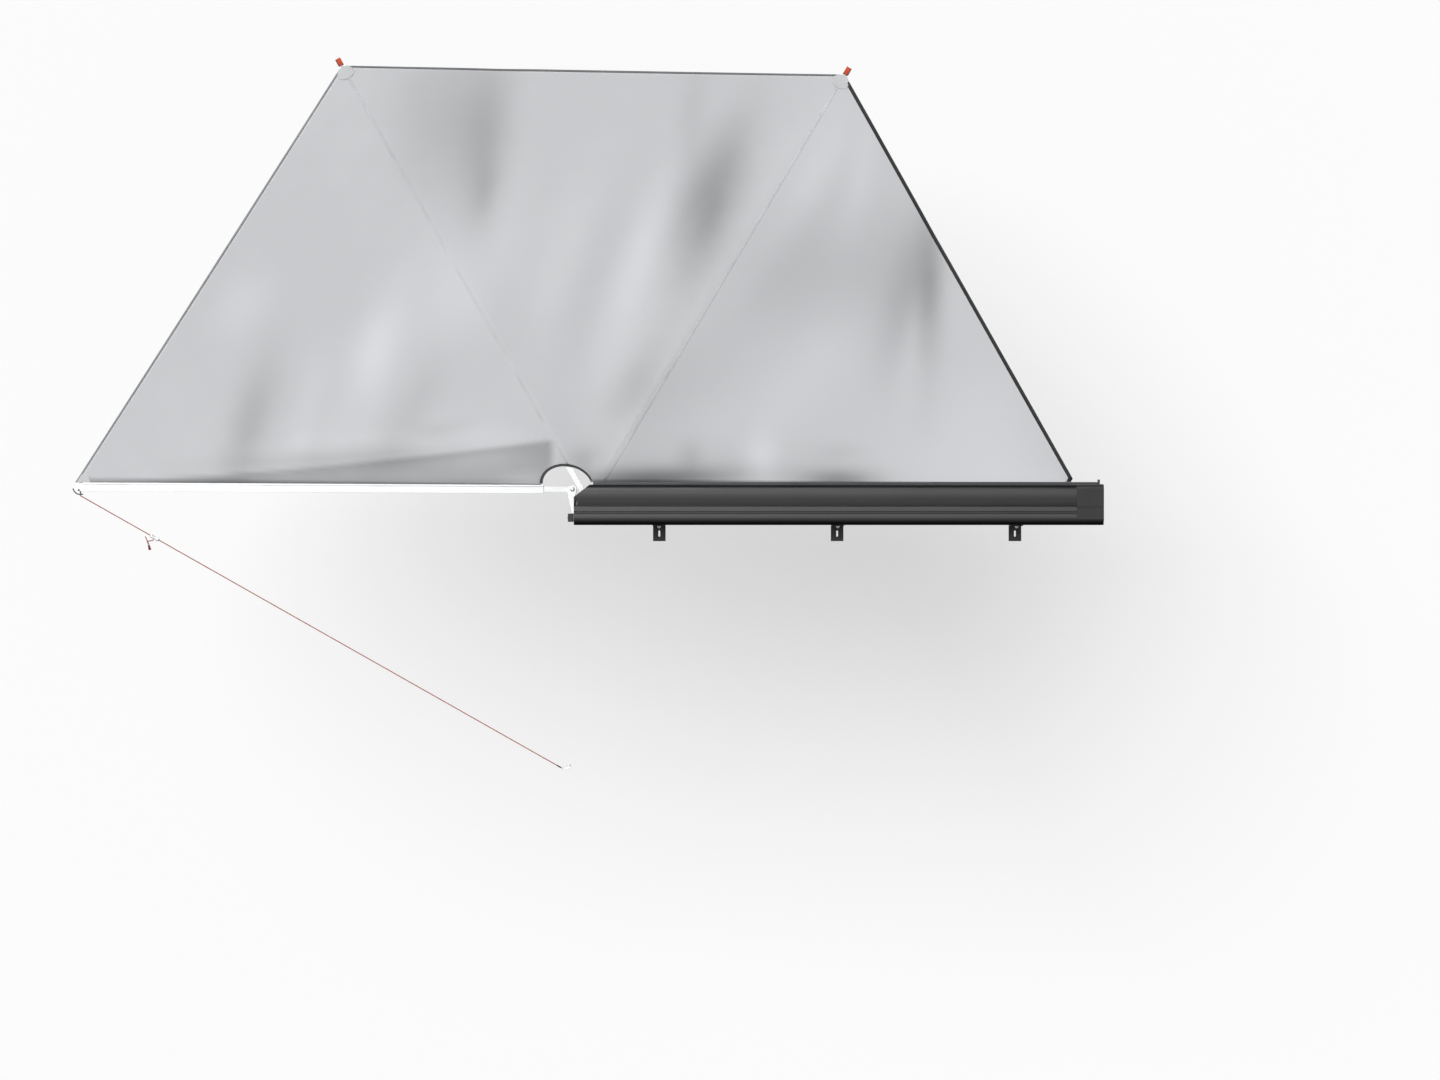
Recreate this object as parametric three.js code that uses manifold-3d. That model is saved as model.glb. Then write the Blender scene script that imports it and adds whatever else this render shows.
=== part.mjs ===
// A fan awning for the side of a vehicle, open over half a circle.
// Millimetres. X runs along the vehicle to its front, Y away from it, and Z up.
// The origin is the middle of the flat land on the back plate, which lies against the roof rack.
import * as THREE from "three";
import { mergeVertices } from "three/addons/utils/BufferGeometryUtils.js";
import Module from "manifold-3d";

const wasm = await Module();
wasm.setup();

// Gaps
const fitGap = 0.3;
const cutOver = 5;

// Case
const caseLength = 2500;
const caseDepth = 193;
const caseHeight = 150;
const coverWall = 3;
const coverCorner = 18;
const ribHeight = 2.5;
const ribGroove = 9;
const ribGrooveAtShares = [0.51, 0.712];
const bandSlope = 38;
const bandDrop = 6;
const rearSlopeDepth = 26;
const rearSlopeDrop = 9;
const seatLipDrop = 10;
const frontOpening = 100;
const mouthChamferAlong = 78;
const mouthChamferDepth = 60;

// Back plate and its two bolt slots
const plateWall = 4;
const landProud = 1;
const landHeight = 54;
const slotAt = 38;
const slotMouth = 9;
const slotRoom = 16.6;
const slotDepth = 7;
const slotWall = 3;

// End caps
const capWall = 4;
const sleeveWall = 2;
const sleeveLength = 128;
const sleeveFrontDrop = 30;
const sleeveGroove = 5;
const sleeveGrooveDepth = 1.2;
const sleeveGrooveAt = 83;
const plugDepth = 54;
const plugReach = 30;
const plugHeight = 62;
const plugInset = 15;

// Canopy rail along the front of the cover
const railDepth = 12;
const railHeight = 12;
const railGroove = 5;
const railMouth = 2.2;
const railEndGap = 14;
const railStopLength = 10;
const railStopReach = 12;

// Rolled flap that closes the case from below
const rollDepth = 42;
const rollHeight = 32;
const rollEndGap = 60;

// Rack brackets
const bracketCount = 3;
const bracketSpanShare = 0.68;
const bracketWidth = 60;
const bracketWall = 5;
const bracketDrop = 38;
const bracketFoot = 72;
const footSlotLength = 30;
const footSlotWidth = 9;
const boltRadius = 4;
const boltHead = 15;
const boltHeadTall = 5;
const nutRadius = 7.5;
const nutTall = 6.5;

// Hub that carries the three arms
const pivotOverhang = 8;
const pivotOut = 169;
const pivotPitch = 43;
const pivotStepFirst = 66;
const pivotStepSecond = 12;
const plateTall = 6;
const linkClear = 2;
const pivotEye = 19;
const hubTaperFoot = 11;
const hubTaperHead = 34;
const spineDepth = 46;
const spineLength = 120;
const pinRadius = 6;
const pinHead = 10;
const pinHeadTall = 4;
const hubBoltInset = 20;

// Arms
const armLength = 2353;
const lastArmExtra = 27;
const armWidth = 40;
const armHeight = 40;
const armWall = 2;
const linkWidth = 25;
const linkHeight = 30;
const linkReaches = { d: 137, a: 182, b: 137 };
const linkTenon = 60;
const knuckleRadius = 16;
const bushWall = 1.5;
const tipLength = 35;
const tipSpigot = 20;
const tipNose = 6;
const openAngles = { d: 179.7, a: 119.5, b: 59.4 };
const edgeRail = 8;
const edgeRailTall = 4.5;
const tabLength = 41;
const tabWidth = 24;
const tabThick = 4;

// Legs folded up inside the arms
const legInset = 75;
const legRadius = 12.5;
const legWall = 1.5;
const legEnd = 12;
const legLength = 1150;
const legPin = 4;
const stageRadius = 10.6;
const stageWall = 1.5;
const stageStart = 130;
const stageReach = 40;
const clampLength = 60;
const clampRadius = 15;
const clampNeck = 15;
const cheekWall = 3.7;
const cheekDrop = 21;
const cheekLength = 16;
const leverWidth = 12;
const leverThick = 6;
const leverLength = 62;
const leverClear = 0.9;
const leverBarrel = 3.2;
const leverPin = 1.5;
const leverAxisDrop = 17;
const footClear = 2;
const footLength = 39;
const footSocket = 14;

// Canopy cloth
const clothThick = 1;
const clothSag = 42;
const seamGap = 0.4;
const armShoulder = 26;
const shoulderMostShare = 0.25;
const hangShares = [0.85, 0.8, 0.15];
const edgeLift = 1.5;
const cutoutWide = 116;
const cutoutDeep = 90;
const cutoutBehind = 25;
const cutoutFromAngle = 176;
const cutoutToAngle = 15.5;
const cornerBlunt = 32;
const cornerInset = 147;
const seamBendShare = 0.7;

// Folds of the cloth: where each lies from the first pivot, its half width and half length, all as
// shares of an arm's length, then its turn in degrees and its height as a share of the sag.
const foldShares = [
  [-0.165, 0.681, 0.051, 0.178, 84, -0.57],
  [0.277, 0.601, 0.047, 0.14, 62, -0.81],
  [0.688, 0.38, 0.042, 0.14, 80, -0.71],
  [-0.477, 0.068, 0.023, 0.263, 4, 0.52],
  [0.407, 0.502, 0.047, 0.272, 52, 0.48],
  [0.003, 0.417, 0.068, 0.221, 70, 0.43],
];

// Guy line from the tip of the first arm. The points that it and its tail run through count from the
// tip's pin, at the rope's height.
const ropeRadius = 2.5;
const ropeDrop = 10;
const eyePin = 4;
const eyePinInset = 12;
const eyePinFlange = 7;
const hookInner = 33;
const hookBand = 6;
const hookTall = 5;
const hookFromAngle = 190;
const hookToAngle = 290;
const hookEyeWall = 4;
const hookClearShares = [0, 0.01, 0.02];
const ropeRoute = [
  [0, -42, 0],
  [376.5, -257.3, -20],
  [755.6, -473.2, -32],
  [1136.5, -689.2, -36],
  [1518.6, -904.9, -32],
  [1901.1, -1119.9, -20],
  [2283.4, -1333.9, 0],
];
const gripShare = 0.154;
const gripLength = 45;
const gripWidth = 17;
const gripTall = 12;
const snapLength = 47;
const snapWidth = 20;
const snapWire = 4;
const snapTurn = 40;
const snapSlack = 1.2;
const tailRoute = [
  [343.5, -248.3, -18.5],
  [341.2, -252.4, -18.5],
  [333.5, -255.4, -18.5],
  [323, -256.2, -18.5],
  [316.5, -259.6, -18.5],
  [317.6, -266.4, -18.5],
];
const pullLength = 34;
const pullTurn = 15;
const pullNarrow = 5;
const pullWide = 14;
const pullThick = 6;

// Facets
const roundSides = 24;
const smallSides = 16;
const cornerSteps = 4;
const curveShares = [0, 0.35, 0.7, 1];
const clothColumns = 14;
const clothRows = 18;
const ropeSteps = 78;
const tailSteps = 12;
const nutSides = 6;
const ropeSides = 8;

// Heights and places that follow from the sizes above
const caseTop = caseHeight / 2;
const caseEnd = caseLength / 2;
const bracketSpan = caseLength * bracketSpanShare;
const coverTop = caseTop - sleeveWall - fitGap;
const coverFront = caseDepth - sleeveWall - fitGap;
const coverLip = caseTop - caseHeight + frontOpening;
const plateTop = coverTop - rearSlopeDrop - coverWall - fitGap;
const railFront = coverFront + fitGap + railDepth;
const slotBack = landProud + plateWall;
const hubFace = linkHeight / 2 + linkClear;
const hubTop = hubFace + plateTall;
const pivots = {
  d: [-caseEnd - pivotOverhang, pivotOut],
  a: [-caseEnd - pivotOverhang + pivotStepFirst, pivotOut - pivotPitch],
  b: [-caseEnd - pivotOverhang + pivotStepFirst + pivotStepSecond, pivotOut - 2 * pivotPitch],
};
const armLengths = { d: armLength, a: armLength, b: armLength + lastArmExtra };
const cutoutAt = [pivots.d[0] - cutoutBehind, pivots.d[1] + armWidth / 2];
const armTop = armHeight / 2;
const footRadius = armWidth / 2 - armWall - footClear;
const clothSeat = armTop + fitGap;
const ropeHeight = -armTop - ropeDrop;

// Looks
const looks = {
  case: ["#242526", 0.55, 0.1],
  trim: ["#1a1a1b", 0.6, 0],
  rail: ["#8d8f91", 0.4, 0.8],
  alloy: ["#e9eaeb", 0.35, 0.7],
  steel: ["#b9bcbf", 0.3, 0.9],
  nylon: ["#d8d6cf", 0.5, 0],
  rubber: ["#161616", 0.8, 0],
  vinyl: ["#2b2c2e", 0.7, 0],
  cloth: ["#c9cacd", 0.6, 0],
  tab: ["#c8452b", 0.7, 0],
  rope: ["#c23a30", 0.7, 0],
  pull: ["#6d1f1f", 0.6, 0],
};

const awning = new THREE.Group();

// Mesh helpers

function piece(parent, name, geometry, look) {
  const [color, roughness, metalness] = looks[look];
  const mesh = new THREE.Mesh(geometry, new THREE.MeshStandardMaterial({ color, roughness, metalness }));
  mesh.name = name;
  parent.add(mesh);
  return mesh;
}

function toSolid(geometry) {
  const bare = geometry.clone();
  bare.deleteAttribute("normal");
  bare.deleteAttribute("uv");
  const merged = mergeVertices(bare, 1e-4);
  const vertProperties = new Float32Array(merged.attributes.position.array);
  const triVerts = new Uint32Array(merged.index.array);
  return new wasm.Manifold(new wasm.Mesh({ numProp: 3, vertProperties, triVerts }));
}

function toGeometry(solid) {
  const mesh = solid.getMesh();
  const geometry = new THREE.BufferGeometry();
  geometry.setAttribute("position", new THREE.BufferAttribute(mesh.vertProperties, 3));
  geometry.setIndex(new THREE.BufferAttribute(mesh.triVerts, 1));
  geometry.computeVertexNormals();
  return geometry;
}

function join(first, ...others) {
  return toGeometry(others.reduce((whole, other) => whole.add(toSolid(other)), toSolid(first)));
}

function cut(first, ...tools) {
  return toGeometry(tools.reduce((whole, tool) => whole.subtract(toSolid(tool)), toSolid(first)));
}

function prism(outline, depth, holes = []) {
  const shape = new THREE.Shape(outline.map(([u, v]) => new THREE.Vector2(u, v)));
  holes.forEach((hole) => shape.holes.push(new THREE.Path(hole.map(([u, v]) => new THREE.Vector2(u, v)))));
  return new THREE.ExtrudeGeometry(shape, { depth, bevelEnabled: false });
}

// An outline in Y and Z, drawn out along X.
function alongX(outline, fromX, toX, holes) {
  const turn = new THREE.Matrix4().makeBasis(
    new THREE.Vector3(0, 1, 0),
    new THREE.Vector3(0, 0, 1),
    new THREE.Vector3(1, 0, 0),
  );
  return prism(outline, toX - fromX, holes).applyMatrix4(turn).translate(fromX, 0, 0);
}

// An outline in X and Z, drawn out along Y.
function alongY(outline, fromY, toY, holes) {
  const turn = new THREE.Matrix4().makeBasis(
    new THREE.Vector3(1, 0, 0),
    new THREE.Vector3(0, 0, 1),
    new THREE.Vector3(0, -1, 0),
  );
  return prism(outline, toY - fromY, holes).applyMatrix4(turn).translate(0, toY, 0);
}

// An outline in X and Y, drawn out along Z.
function alongZ(outline, fromZ, toZ, holes) {
  return prism(outline, toZ - fromZ, holes).translate(0, 0, fromZ);
}

function block([x0, x1], [y0, y1], [z0, z1]) {
  const box = new THREE.BoxGeometry(x1 - x0, y1 - y0, z1 - z0);
  return box.translate((x0 + x1) / 2, (y0 + y1) / 2, (z0 + z1) / 2);
}

function arc(centre, radius, fromAngle, toAngle, steps) {
  return Array.from({ length: steps + 1 }, (_, i) => {
    const angle = THREE.MathUtils.degToRad(fromAngle + ((toAngle - fromAngle) * i) / steps);
    return [centre[0] + radius * Math.cos(angle), centre[1] + radius * Math.sin(angle)];
  });
}

function circle(centre, radius, sides) {
  return arc(centre, radius, 0, 360, sides).slice(0, sides);
}

// Case

// The outside of the case in Y and Z, from the front lip over the top to the back.
function hoodOutline(inset, lip) {
  const front = coverFront - inset;
  const top = coverTop - inset;
  const corner = coverCorner - inset;
  return [[front, lip], ...arc([front - corner, top - corner], corner, 0, 90, cornerSteps)];
}

// A curve that bends down from a flat top by a drop over a depth: the drop times the share of the depth, squared.
function bentDown(from, depth, drop) {
  return curveShares.map((share) => [from - depth * share, coverTop - drop * share * share]);
}

// The front band bends down to the first groove, and a shallower groove parts the two rear bands.
function ribbedTop() {
  const [first, second] = ribGrooveAtShares.map((share) => coverFront * (1 - share) + ribGroove / 2 - coverWall);
  return [
    ...bentDown(first + bandSlope, bandSlope, bandDrop),
    [first - ribGroove / 2, coverTop - bandDrop],
    [first - ribGroove, coverTop],
    [second, coverTop],
    [second - ribHeight / 2, coverTop - ribHeight],
    [second - ribGroove + ribHeight / 2, coverTop - ribHeight],
    [second - ribGroove, coverTop],
  ];
}

// The triangle that the cover leaves open at its rear front corner, for the arms to swing through.
function mouthCut() {
  const end = -caseEnd - cutOver;
  const slope = mouthChamferDepth / mouthChamferAlong;
  const low = caseDepth - mouthChamferDepth - cutOver * slope;
  const high = caseDepth + cutOver;
  const far = -caseEnd + mouthChamferAlong + cutOver / slope;
  return alongZ([[end, low], [far, high], [end, high]], -caseTop, caseTop + cutOver);
}

function makeCover() {
  const inner = coverTop - bandDrop - coverWall;
  const rearLow = coverTop - rearSlopeDrop;
  const lipFace = plateWall + landProud + fitGap;
  const innerCorner = coverCorner - coverWall;
  const outline = [
    ...hoodOutline(0, coverLip),
    ...ribbedTop(),
    ...bentDown(rearSlopeDepth, rearSlopeDepth, rearSlopeDrop),
    [0, plateTop + fitGap],
    [lipFace, plateTop + fitGap],
    [lipFace, plateTop - seatLipDrop],
    [lipFace + coverWall, plateTop - seatLipDrop],
    [lipFace + coverWall, rearLow - coverWall],
    [rearSlopeDepth, inner],
    ...arc([coverFront - coverCorner, inner - innerCorner], innerCorner, 90, 0, cornerSteps),
    [coverFront - coverWall, coverLip],
  ];
  const body = alongX(outline, -caseEnd, caseEnd - capWall - fitGap);
  piece(awning, "top_cover", cut(body, mouthCut()), "case");
}

function slotOutline(side) {
  const half = slotMouth / 2;
  const room = slotRoom / 2;
  const face = landProud;
  const wide = slotBack + slotDepth;
  return [[face, half], [slotBack, half], [slotBack, room], [wide, room]]
    .concat([[wide, -room], [slotBack, -room], [slotBack, -half], [face, -half]])
    .map(([y, z]) => [y, side * (slotAt - z)]);
}

function makeBackPlate() {
  const boss = slotRoom / 2 + slotWall;
  const bossTop = slotBack + slotDepth + slotWall;
  const land = landHeight / 2;
  const inner = landProud + plateWall;
  const outline = [
    [landProud, -caseTop],
    ...slotOutline(-1).reverse(),
    [landProud, -land],
    [0, -land],
    [0, land],
    [landProud, land],
    ...slotOutline(1),
    [landProud, plateTop],
    [inner, plateTop],
    [inner, slotAt + boss],
  ];
  const raised = [
    [bossTop, slotAt + boss],
    [bossTop, slotAt - boss],
    [inner, slotAt - boss],
    [inner, boss - slotAt],
    [bossTop, boss - slotAt],
    [bossTop, -boss - slotAt],
    [inner, -boss - slotAt],
    [inner, -caseTop],
  ];
  piece(awning, "back_plate", alongX([...outline, ...raised], ...plateSpan()), "case");
}

function plateSpan() {
  return [-caseEnd + capWall + fitGap, caseEnd - capWall - fitGap];
}

function makeFrontCap() {
  const sleeveLip = coverTop - sleeveFrontDrop;
  const outside = -sleeveWall - fitGap;
  const sleeveOutline = (inset) => [...hoodOutline(inset, sleeveLip), [rearSlopeDepth, coverTop - inset]];
  const sleeve = [...sleeveOutline(outside), ...sleeveOutline(-fitGap).reverse()];
  const grooveSide = sleeveGroove / 2;
  const grooveSpan = [sleeveGrooveAt - grooveSide, sleeveGrooveAt + grooveSide];
  const top = coverTop - outside;
  const groove = block([caseEnd - sleeveLength - cutOver, caseEnd + cutOver], grooveSpan, [
    top - sleeveGrooveDepth,
    top + cutOver,
  ]);
  const plate = [
    ...hoodOutline(outside, -caseTop),
    [rearSlopeDepth, coverTop - outside],
    [0, coverTop - rearSlopeDrop],
    [0, -caseTop],
  ];
  const shell = alongX(sleeve, caseEnd - sleeveLength, caseEnd);
  const cap = join(alongX(plate, caseEnd - capWall, caseEnd), shell);
  piece(awning, "end_cap_front", cut(cap, groove), "trim");
}

function makeRearCap() {
  const low = -caseTop;
  const plate = block([-caseEnd, -caseEnd + capWall], [0, plugDepth], [low, plateTop - seatLipDrop - fitGap]);
  const half = plugHeight / 2;
  const plug = block([-caseEnd - plugReach, -caseEnd + capWall], [plugInset, plugDepth], [-half, half]);
  piece(awning, "end_cap_rear", join(plate, plug), "trim");
}

function makeRail() {
  const back = coverFront + fitGap;
  const low = coverLip;
  const high = low + railHeight;
  const middle = (low + high) / 2;
  const grooveBack = railFront - (railDepth + railGroove) / 2;
  const wall = (railDepth - railGroove) / 2;
  const mouth = railMouth / 2;
  const room = railGroove / 2;
  const outline = [
    [back, low],
    [railFront, low],
    [railFront, middle - mouth],
    [railFront - wall, middle - mouth],
    [railFront - wall, middle - room],
    [grooveBack, middle - room],
    [grooveBack, middle + room],
    [railFront - wall, middle + room],
    [railFront - wall, middle + mouth],
    [railFront, middle + mouth],
    [railFront, high],
    [back, high],
  ];
  const start = -caseEnd + mouthChamferAlong + railDepth;
  const end = caseEnd - railEndGap;
  const stop = block([end - railStopLength, end], [back, railFront + railStopReach], [low, high]);
  piece(awning, "canopy_rail", join(alongX(outline, start, end), stop), "rail");
}

function makeFlapRoll() {
  const start = slotBack + slotDepth + slotWall + fitGap;
  const low = -caseTop + fitGap;
  const centre = [start + rollDepth / 2, low + rollHeight / 2];
  const outline = circle([0, 0], 1, roundSides).map(([u, v]) => [
    centre[0] + (u * rollDepth) / 2,
    centre[1] + (v * rollHeight) / 2,
  ]);
  const from = -caseEnd + spineLength + rollEndGap;
  piece(awning, "closing_flap", alongX(outline, from, caseEnd - capWall - fitGap), "vinyl");
}

function makeBrackets() {
  const near = landProud - fitGap;
  const far = near - bracketWall;
  const high = -landHeight / 2 - fitGap;
  const low = -caseTop - bracketDrop;
  const outline = [
    [near, high],
    [near, low],
    [far - bracketFoot, low],
    [far - bracketFoot, low + bracketWall],
    [far, low + bracketWall],
    [far, high],
  ];
  const headFace = slotBack + fitGap;
  const nutFace = far - fitGap;
  for (let i = 0; i < bracketCount; i++) {
    const x = (i / (bracketCount - 1) - 1 / 2) * bracketSpan;
    const half = bracketWidth / 2;
    const place = [x, -slotAt];
    const boltHole = alongY(circle(place, boltRadius + fitGap, smallSides), far - cutOver, near + cutOver);
    const slotRadius = footSlotWidth / 2;
    const slotMid = far - bracketFoot / 2;
    const reach = (footSlotLength - footSlotWidth) / 2;
    const footSlot = [
      ...arc([x, slotMid + reach], slotRadius, 0, 180, smallSides / 2),
      ...arc([x, slotMid - reach], slotRadius, 180, 360, smallSides / 2),
    ];
    const footHole = alongZ(footSlot, low - cutOver, low + bracketWall + cutOver);
    const bracket = cut(alongX(outline, x - half, x + half), boltHole, footHole);
    piece(awning, `rack_bracket_${i + 1}`, bracket, "trim");
    const headEnd = headFace + boltHeadTall;
    const nutEnd = nutFace - nutTall;
    const shank = alongY(circle(place, boltRadius, smallSides), nutEnd - boltRadius, headEnd);
    const side = boltHead / 2;
    const head = block([x - side, x + side], [headFace, headEnd], [-slotAt - side, -slotAt + side]);
    const nut = alongY(circle(place, nutRadius, nutSides), nutEnd, nutFace);
    piece(awning, `bracket_bolt_${i + 1}`, join(shank, head, nut), "steel");
  }
}

// Hub

function hubOutline() {
  const [d, a, b] = [pivots.d, pivots.a, pivots.b];
  const foot = [-caseEnd, plugDepth + fitGap];
  const inside = -caseEnd + capWall + fitGap;
  return [
    [foot[0] - hubTaperFoot, foot[1]],
    [foot[0] - hubTaperHead, d[1] - pivotEye / 2],
    ...arc(d, pivotEye, 205, -30, cornerSteps * 2),
    [foot[0] + fitGap, a[1] - pivotEye],
    ...arc(a, pivotEye, 120, 40, cornerSteps),
    ...arc(b, pivotEye, 60, -60, cornerSteps),
    [inside + spineLength, slotBack + spineDepth],
    [inside + spineLength, slotBack + fitGap],
    [inside, slotBack + fitGap],
    [inside, foot[1]],
  ];
}

function makeHub() {
  const outline = hubOutline();
  const inside = -caseEnd + capWall + fitGap;
  const boltHoles = hubBoltPlaces().map((place) => circle(place, boltRadius + fitGap, smallSides));
  const pinHoles = Object.values(pivots).map((place) => circle(place, pinRadius + fitGap, smallSides));
  const holes = [...boltHoles, ...pinHoles];
  piece(awning, "hub_plate_upper", alongZ(outline, hubFace, hubTop, holes), "alloy");
  const spine = [
    [inside, slotBack + fitGap],
    [inside + spineLength, slotBack + fitGap],
    [inside + spineLength, slotBack + spineDepth],
    [inside, slotBack + spineDepth],
  ];
  const web = alongZ(spine, -hubFace - fitGap, hubFace - fitGap, boltHoles);
  piece(awning, "hub_plate_lower", join(alongZ(outline, -hubTop, -hubFace, holes), web), "alloy");
}

function hubBoltPlaces() {
  const inside = -caseEnd + capWall + fitGap;
  const middle = slotBack + spineDepth / 2;
  return [[inside + hubBoltInset, middle], [inside + spineLength - hubBoltInset, middle]];
}

function headedPin([x, y], radius, headRadius, headTall, reach, sides) {
  const shank = alongZ(circle([x, y], radius, sides), -reach - headTall, reach + headTall);
  const head = alongZ(circle([x, y], headRadius, sides), reach, reach + headTall);
  const foot = alongZ(circle([x, y], headRadius, nutSides), -reach - headTall, -reach);
  return join(shank, head, foot);
}

function makeHubFasteners() {
  const reach = hubTop + fitGap;
  for (const [arm, place] of Object.entries(pivots)) {
    const pin = headedPin(place, pinRadius, pinHead, pinHeadTall, reach, smallSides);
    piece(awning, `pivot_pin_${arm}`, pin, "steel");
  }
  hubBoltPlaces().forEach((place, i) => {
    const bolt = headedPin(place, boltRadius, nutRadius, boltHeadTall, reach, smallSides);
    piece(awning, `hub_bolt_${i + 1}`, bolt, "steel");
  });
}

// Arms, each along its own X from its pivot to its tip

function makeLink(arm, group) {
  const linkEnd = linkReaches[arm] + linkTenon;
  const bore = pinRadius + fitGap + bushWall + fitGap;
  const half = linkHeight / 2;
  const knuckle = alongZ(circle([0, 0], knuckleRadius, roundSides), -half, half);
  const bar = block([0, linkEnd], [-linkWidth / 2, linkWidth / 2], [-half, half]);
  const inner = armWidth / 2 - armWall - fitGap;
  const tenonTop = armTop - armWall - fitGap;
  const tenon = block([channelStart(arm), linkEnd], [-inner, inner], [-half, tenonTop]);
  const hole = alongZ(circle([0, 0], bore, smallSides), -half - cutOver, half + cutOver);
  piece(group, `arm_${arm}_link`, cut(join(knuckle, bar, tenon), hole), "alloy");
  const reach = half + fitGap;
  const bushOuter = pinRadius + fitGap + bushWall;
  const bush = alongZ(circle([0, 0], bushOuter, smallSides), -reach, reach, [
    circle([0, 0], pinRadius + fitGap, smallSides),
  ]);
  piece(group, `arm_${arm}_bush`, bush, "nylon");
}

function channelOutline(withEdge) {
  const side = armWidth / 2;
  const inner = side - armWall;
  const grooveTop = armTop + (edgeRailTall + railMouth) / 2;
  const edge = [
    [edgeRail - side, armTop],
    [edgeRail - side, armTop + edgeRailTall],
    [-side, armTop + edgeRailTall],
    [-side, grooveTop],
    [edgeRail / 2 - side, grooveTop],
    [edgeRail / 2 - side, grooveTop - railMouth],
    [-side, grooveTop - railMouth],
  ];
  return [
    [side, -armTop],
    [side, armTop],
    ...(withEdge ? edge : [[-side, armTop]]),
    [-side, -armTop],
    [-inner, -armTop],
    [-inner, armTop - armWall],
    [inner, armTop - armWall],
    [inner, -armTop],
  ];
}

function channelStart(arm) {
  return linkReaches[arm] + fitGap;
}

function makeChannel(arm, group) {
  const end = armLengths[arm];
  const body = alongX(channelOutline(arm === "d"), channelStart(arm), end - tipLength - fitGap);
  const hole = alongY(circle([end - legInset, 0], legPin + fitGap, smallSides), -armWidth, armWidth);
  piece(group, `arm_${arm}_channel`, cut(body, hole), "alloy");
}

function makeTip(arm, group) {
  const end = armLengths[arm];
  const half = armWidth / 2;
  const start = end - tipLength;
  const outline = [
    [start, -half],
    [end - tipNose, -half],
    [end, -half + tipNose],
    [end, half - tipNose],
    [end - tipNose, half],
    [start, half],
  ];
  const cap = alongZ(outline, -armTop, armTop);
  const inner = half - armWall - fitGap;
  const spigotSpan = [start - tipSpigot, start + fitGap];
  const spigot = block(spigotSpan, [-inner, inner], [-armTop / 2, armTop - armWall - fitGap]);
  const parts = [cap, spigot];
  if (arm === "d") {
    const place = [end - eyePinInset, 0];
    const low = ropeHeight - hookTall / 2 - fitGap;
    parts.push(alongZ(circle(place, eyePin, smallSides), low - hookTall / 2, -armTop + cutOver));
    parts.push(alongZ(circle(place, eyePinFlange, smallSides), low - hookTall / 2, low));
  }
  piece(group, `arm_${arm}_tip`, join(...parts), "alloy");
  if (arm !== "d") {
    const reach = end + fitGap;
    const tab = block([reach, reach + tabLength], [-tabWidth / 2, tabWidth / 2], [-tabThick / 2, tabThick / 2]);
    piece(group, `pull_tab_${arm}`, tab.translate(0, 0, armTop / 2), "tab");
  }
}

// A leg, along its own X from its hinge pin to its foot

function ring(outer, inner, fromX, toX) {
  return alongX(circle([0, 0], outer, smallSides), fromX, toX, [circle([0, 0], inner, smallSides)]);
}

function makeLeg(arm, group) {
  const leg = new THREE.Group();
  leg.position.set(armLengths[arm] - legInset, 0, 0);
  leg.rotation.z = Math.PI;
  group.add(leg);
  const pinHalf = armWidth / 2;
  piece(leg, `leg_${arm}_pin`, alongY(circle([0, 0], legPin, smallSides), -pinHalf, pinHalf), "steel");
  const tube = ring(legRadius, legRadius - legWall, -legEnd, legLength);
  const hole = alongY(circle([0, 0], legPin + fitGap, smallSides), -armWidth, armWidth);
  piece(leg, `leg_${arm}_tube`, cut(tube, hole), "alloy");
  const stageEnd = legLength + stageReach;
  piece(leg, `leg_${arm}_stage`, ring(stageRadius, stageRadius - stageWall, stageStart, stageEnd), "steel");
  makeClamp(arm, leg);
  const footStart = stageEnd - footSocket;
  const foot = alongX(circle([0, 0], footRadius, smallSides), footStart, footStart + footLength);
  const socketOutline = circle([0, 0], stageRadius + fitGap, smallSides);
  const socket = alongX(socketOutline, footStart - cutOver, stageEnd + fitGap);
  piece(leg, `leg_${arm}_foot`, cut(foot, socket), "rubber");
}

function makeClamp(arm, leg) {
  const start = legLength + clampNeck - clampLength;
  const end = legLength + clampNeck;
  const slotHalf = leverWidth / 2 + fitGap;
  const cheekHalf = slotHalf + cheekWall;
  const cheekMid = start + cheekLength;
  const cheekSpan = [cheekMid - cheekLength / 2, cheekMid + cheekLength / 2];
  const collar = alongX(circle([0, 0], clampRadius, smallSides), start, end);
  const cheeks = block(cheekSpan, [-cheekHalf, cheekHalf], [-cheekDrop, 0]);
  const wideBore = alongX(circle([0, 0], legRadius + fitGap, smallSides), start - cutOver, legLength + fitGap);
  const narrowBore = alongX(circle([0, 0], stageRadius + fitGap, smallSides), start, end + cutOver);
  const slotSpan = [start - cutOver, cheekSpan[1] + fitGap];
  const slot = block(slotSpan, [-slotHalf, slotHalf], [-cheekDrop - cutOver, 0]);
  const axis = [cheekMid, -leverAxisDrop];
  const hole = alongY(circle(axis, leverPin + fitGap, smallSides), -cheekHalf - cutOver, cheekHalf + cutOver);
  const clamp = cut(join(collar, cheeks), wideBore, narrowBore, slot, hole);
  piece(leg, `leg_${arm}_clamp`, clamp, "trim");
  const bladeTop = -legRadius - leverClear;
  const half = leverWidth / 2;
  const blade = block([cheekMid - leverLength, cheekMid], [-half, half], [bladeTop - leverThick, bladeTop]);
  const barrel = alongY(circle(axis, leverBarrel, smallSides), -half, half);
  const stub = alongY(circle(axis, leverPin, smallSides), -cheekHalf, cheekHalf);
  piece(leg, `leg_${arm}_lever`, join(blade, barrel, stub), "trim");
}

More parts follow.
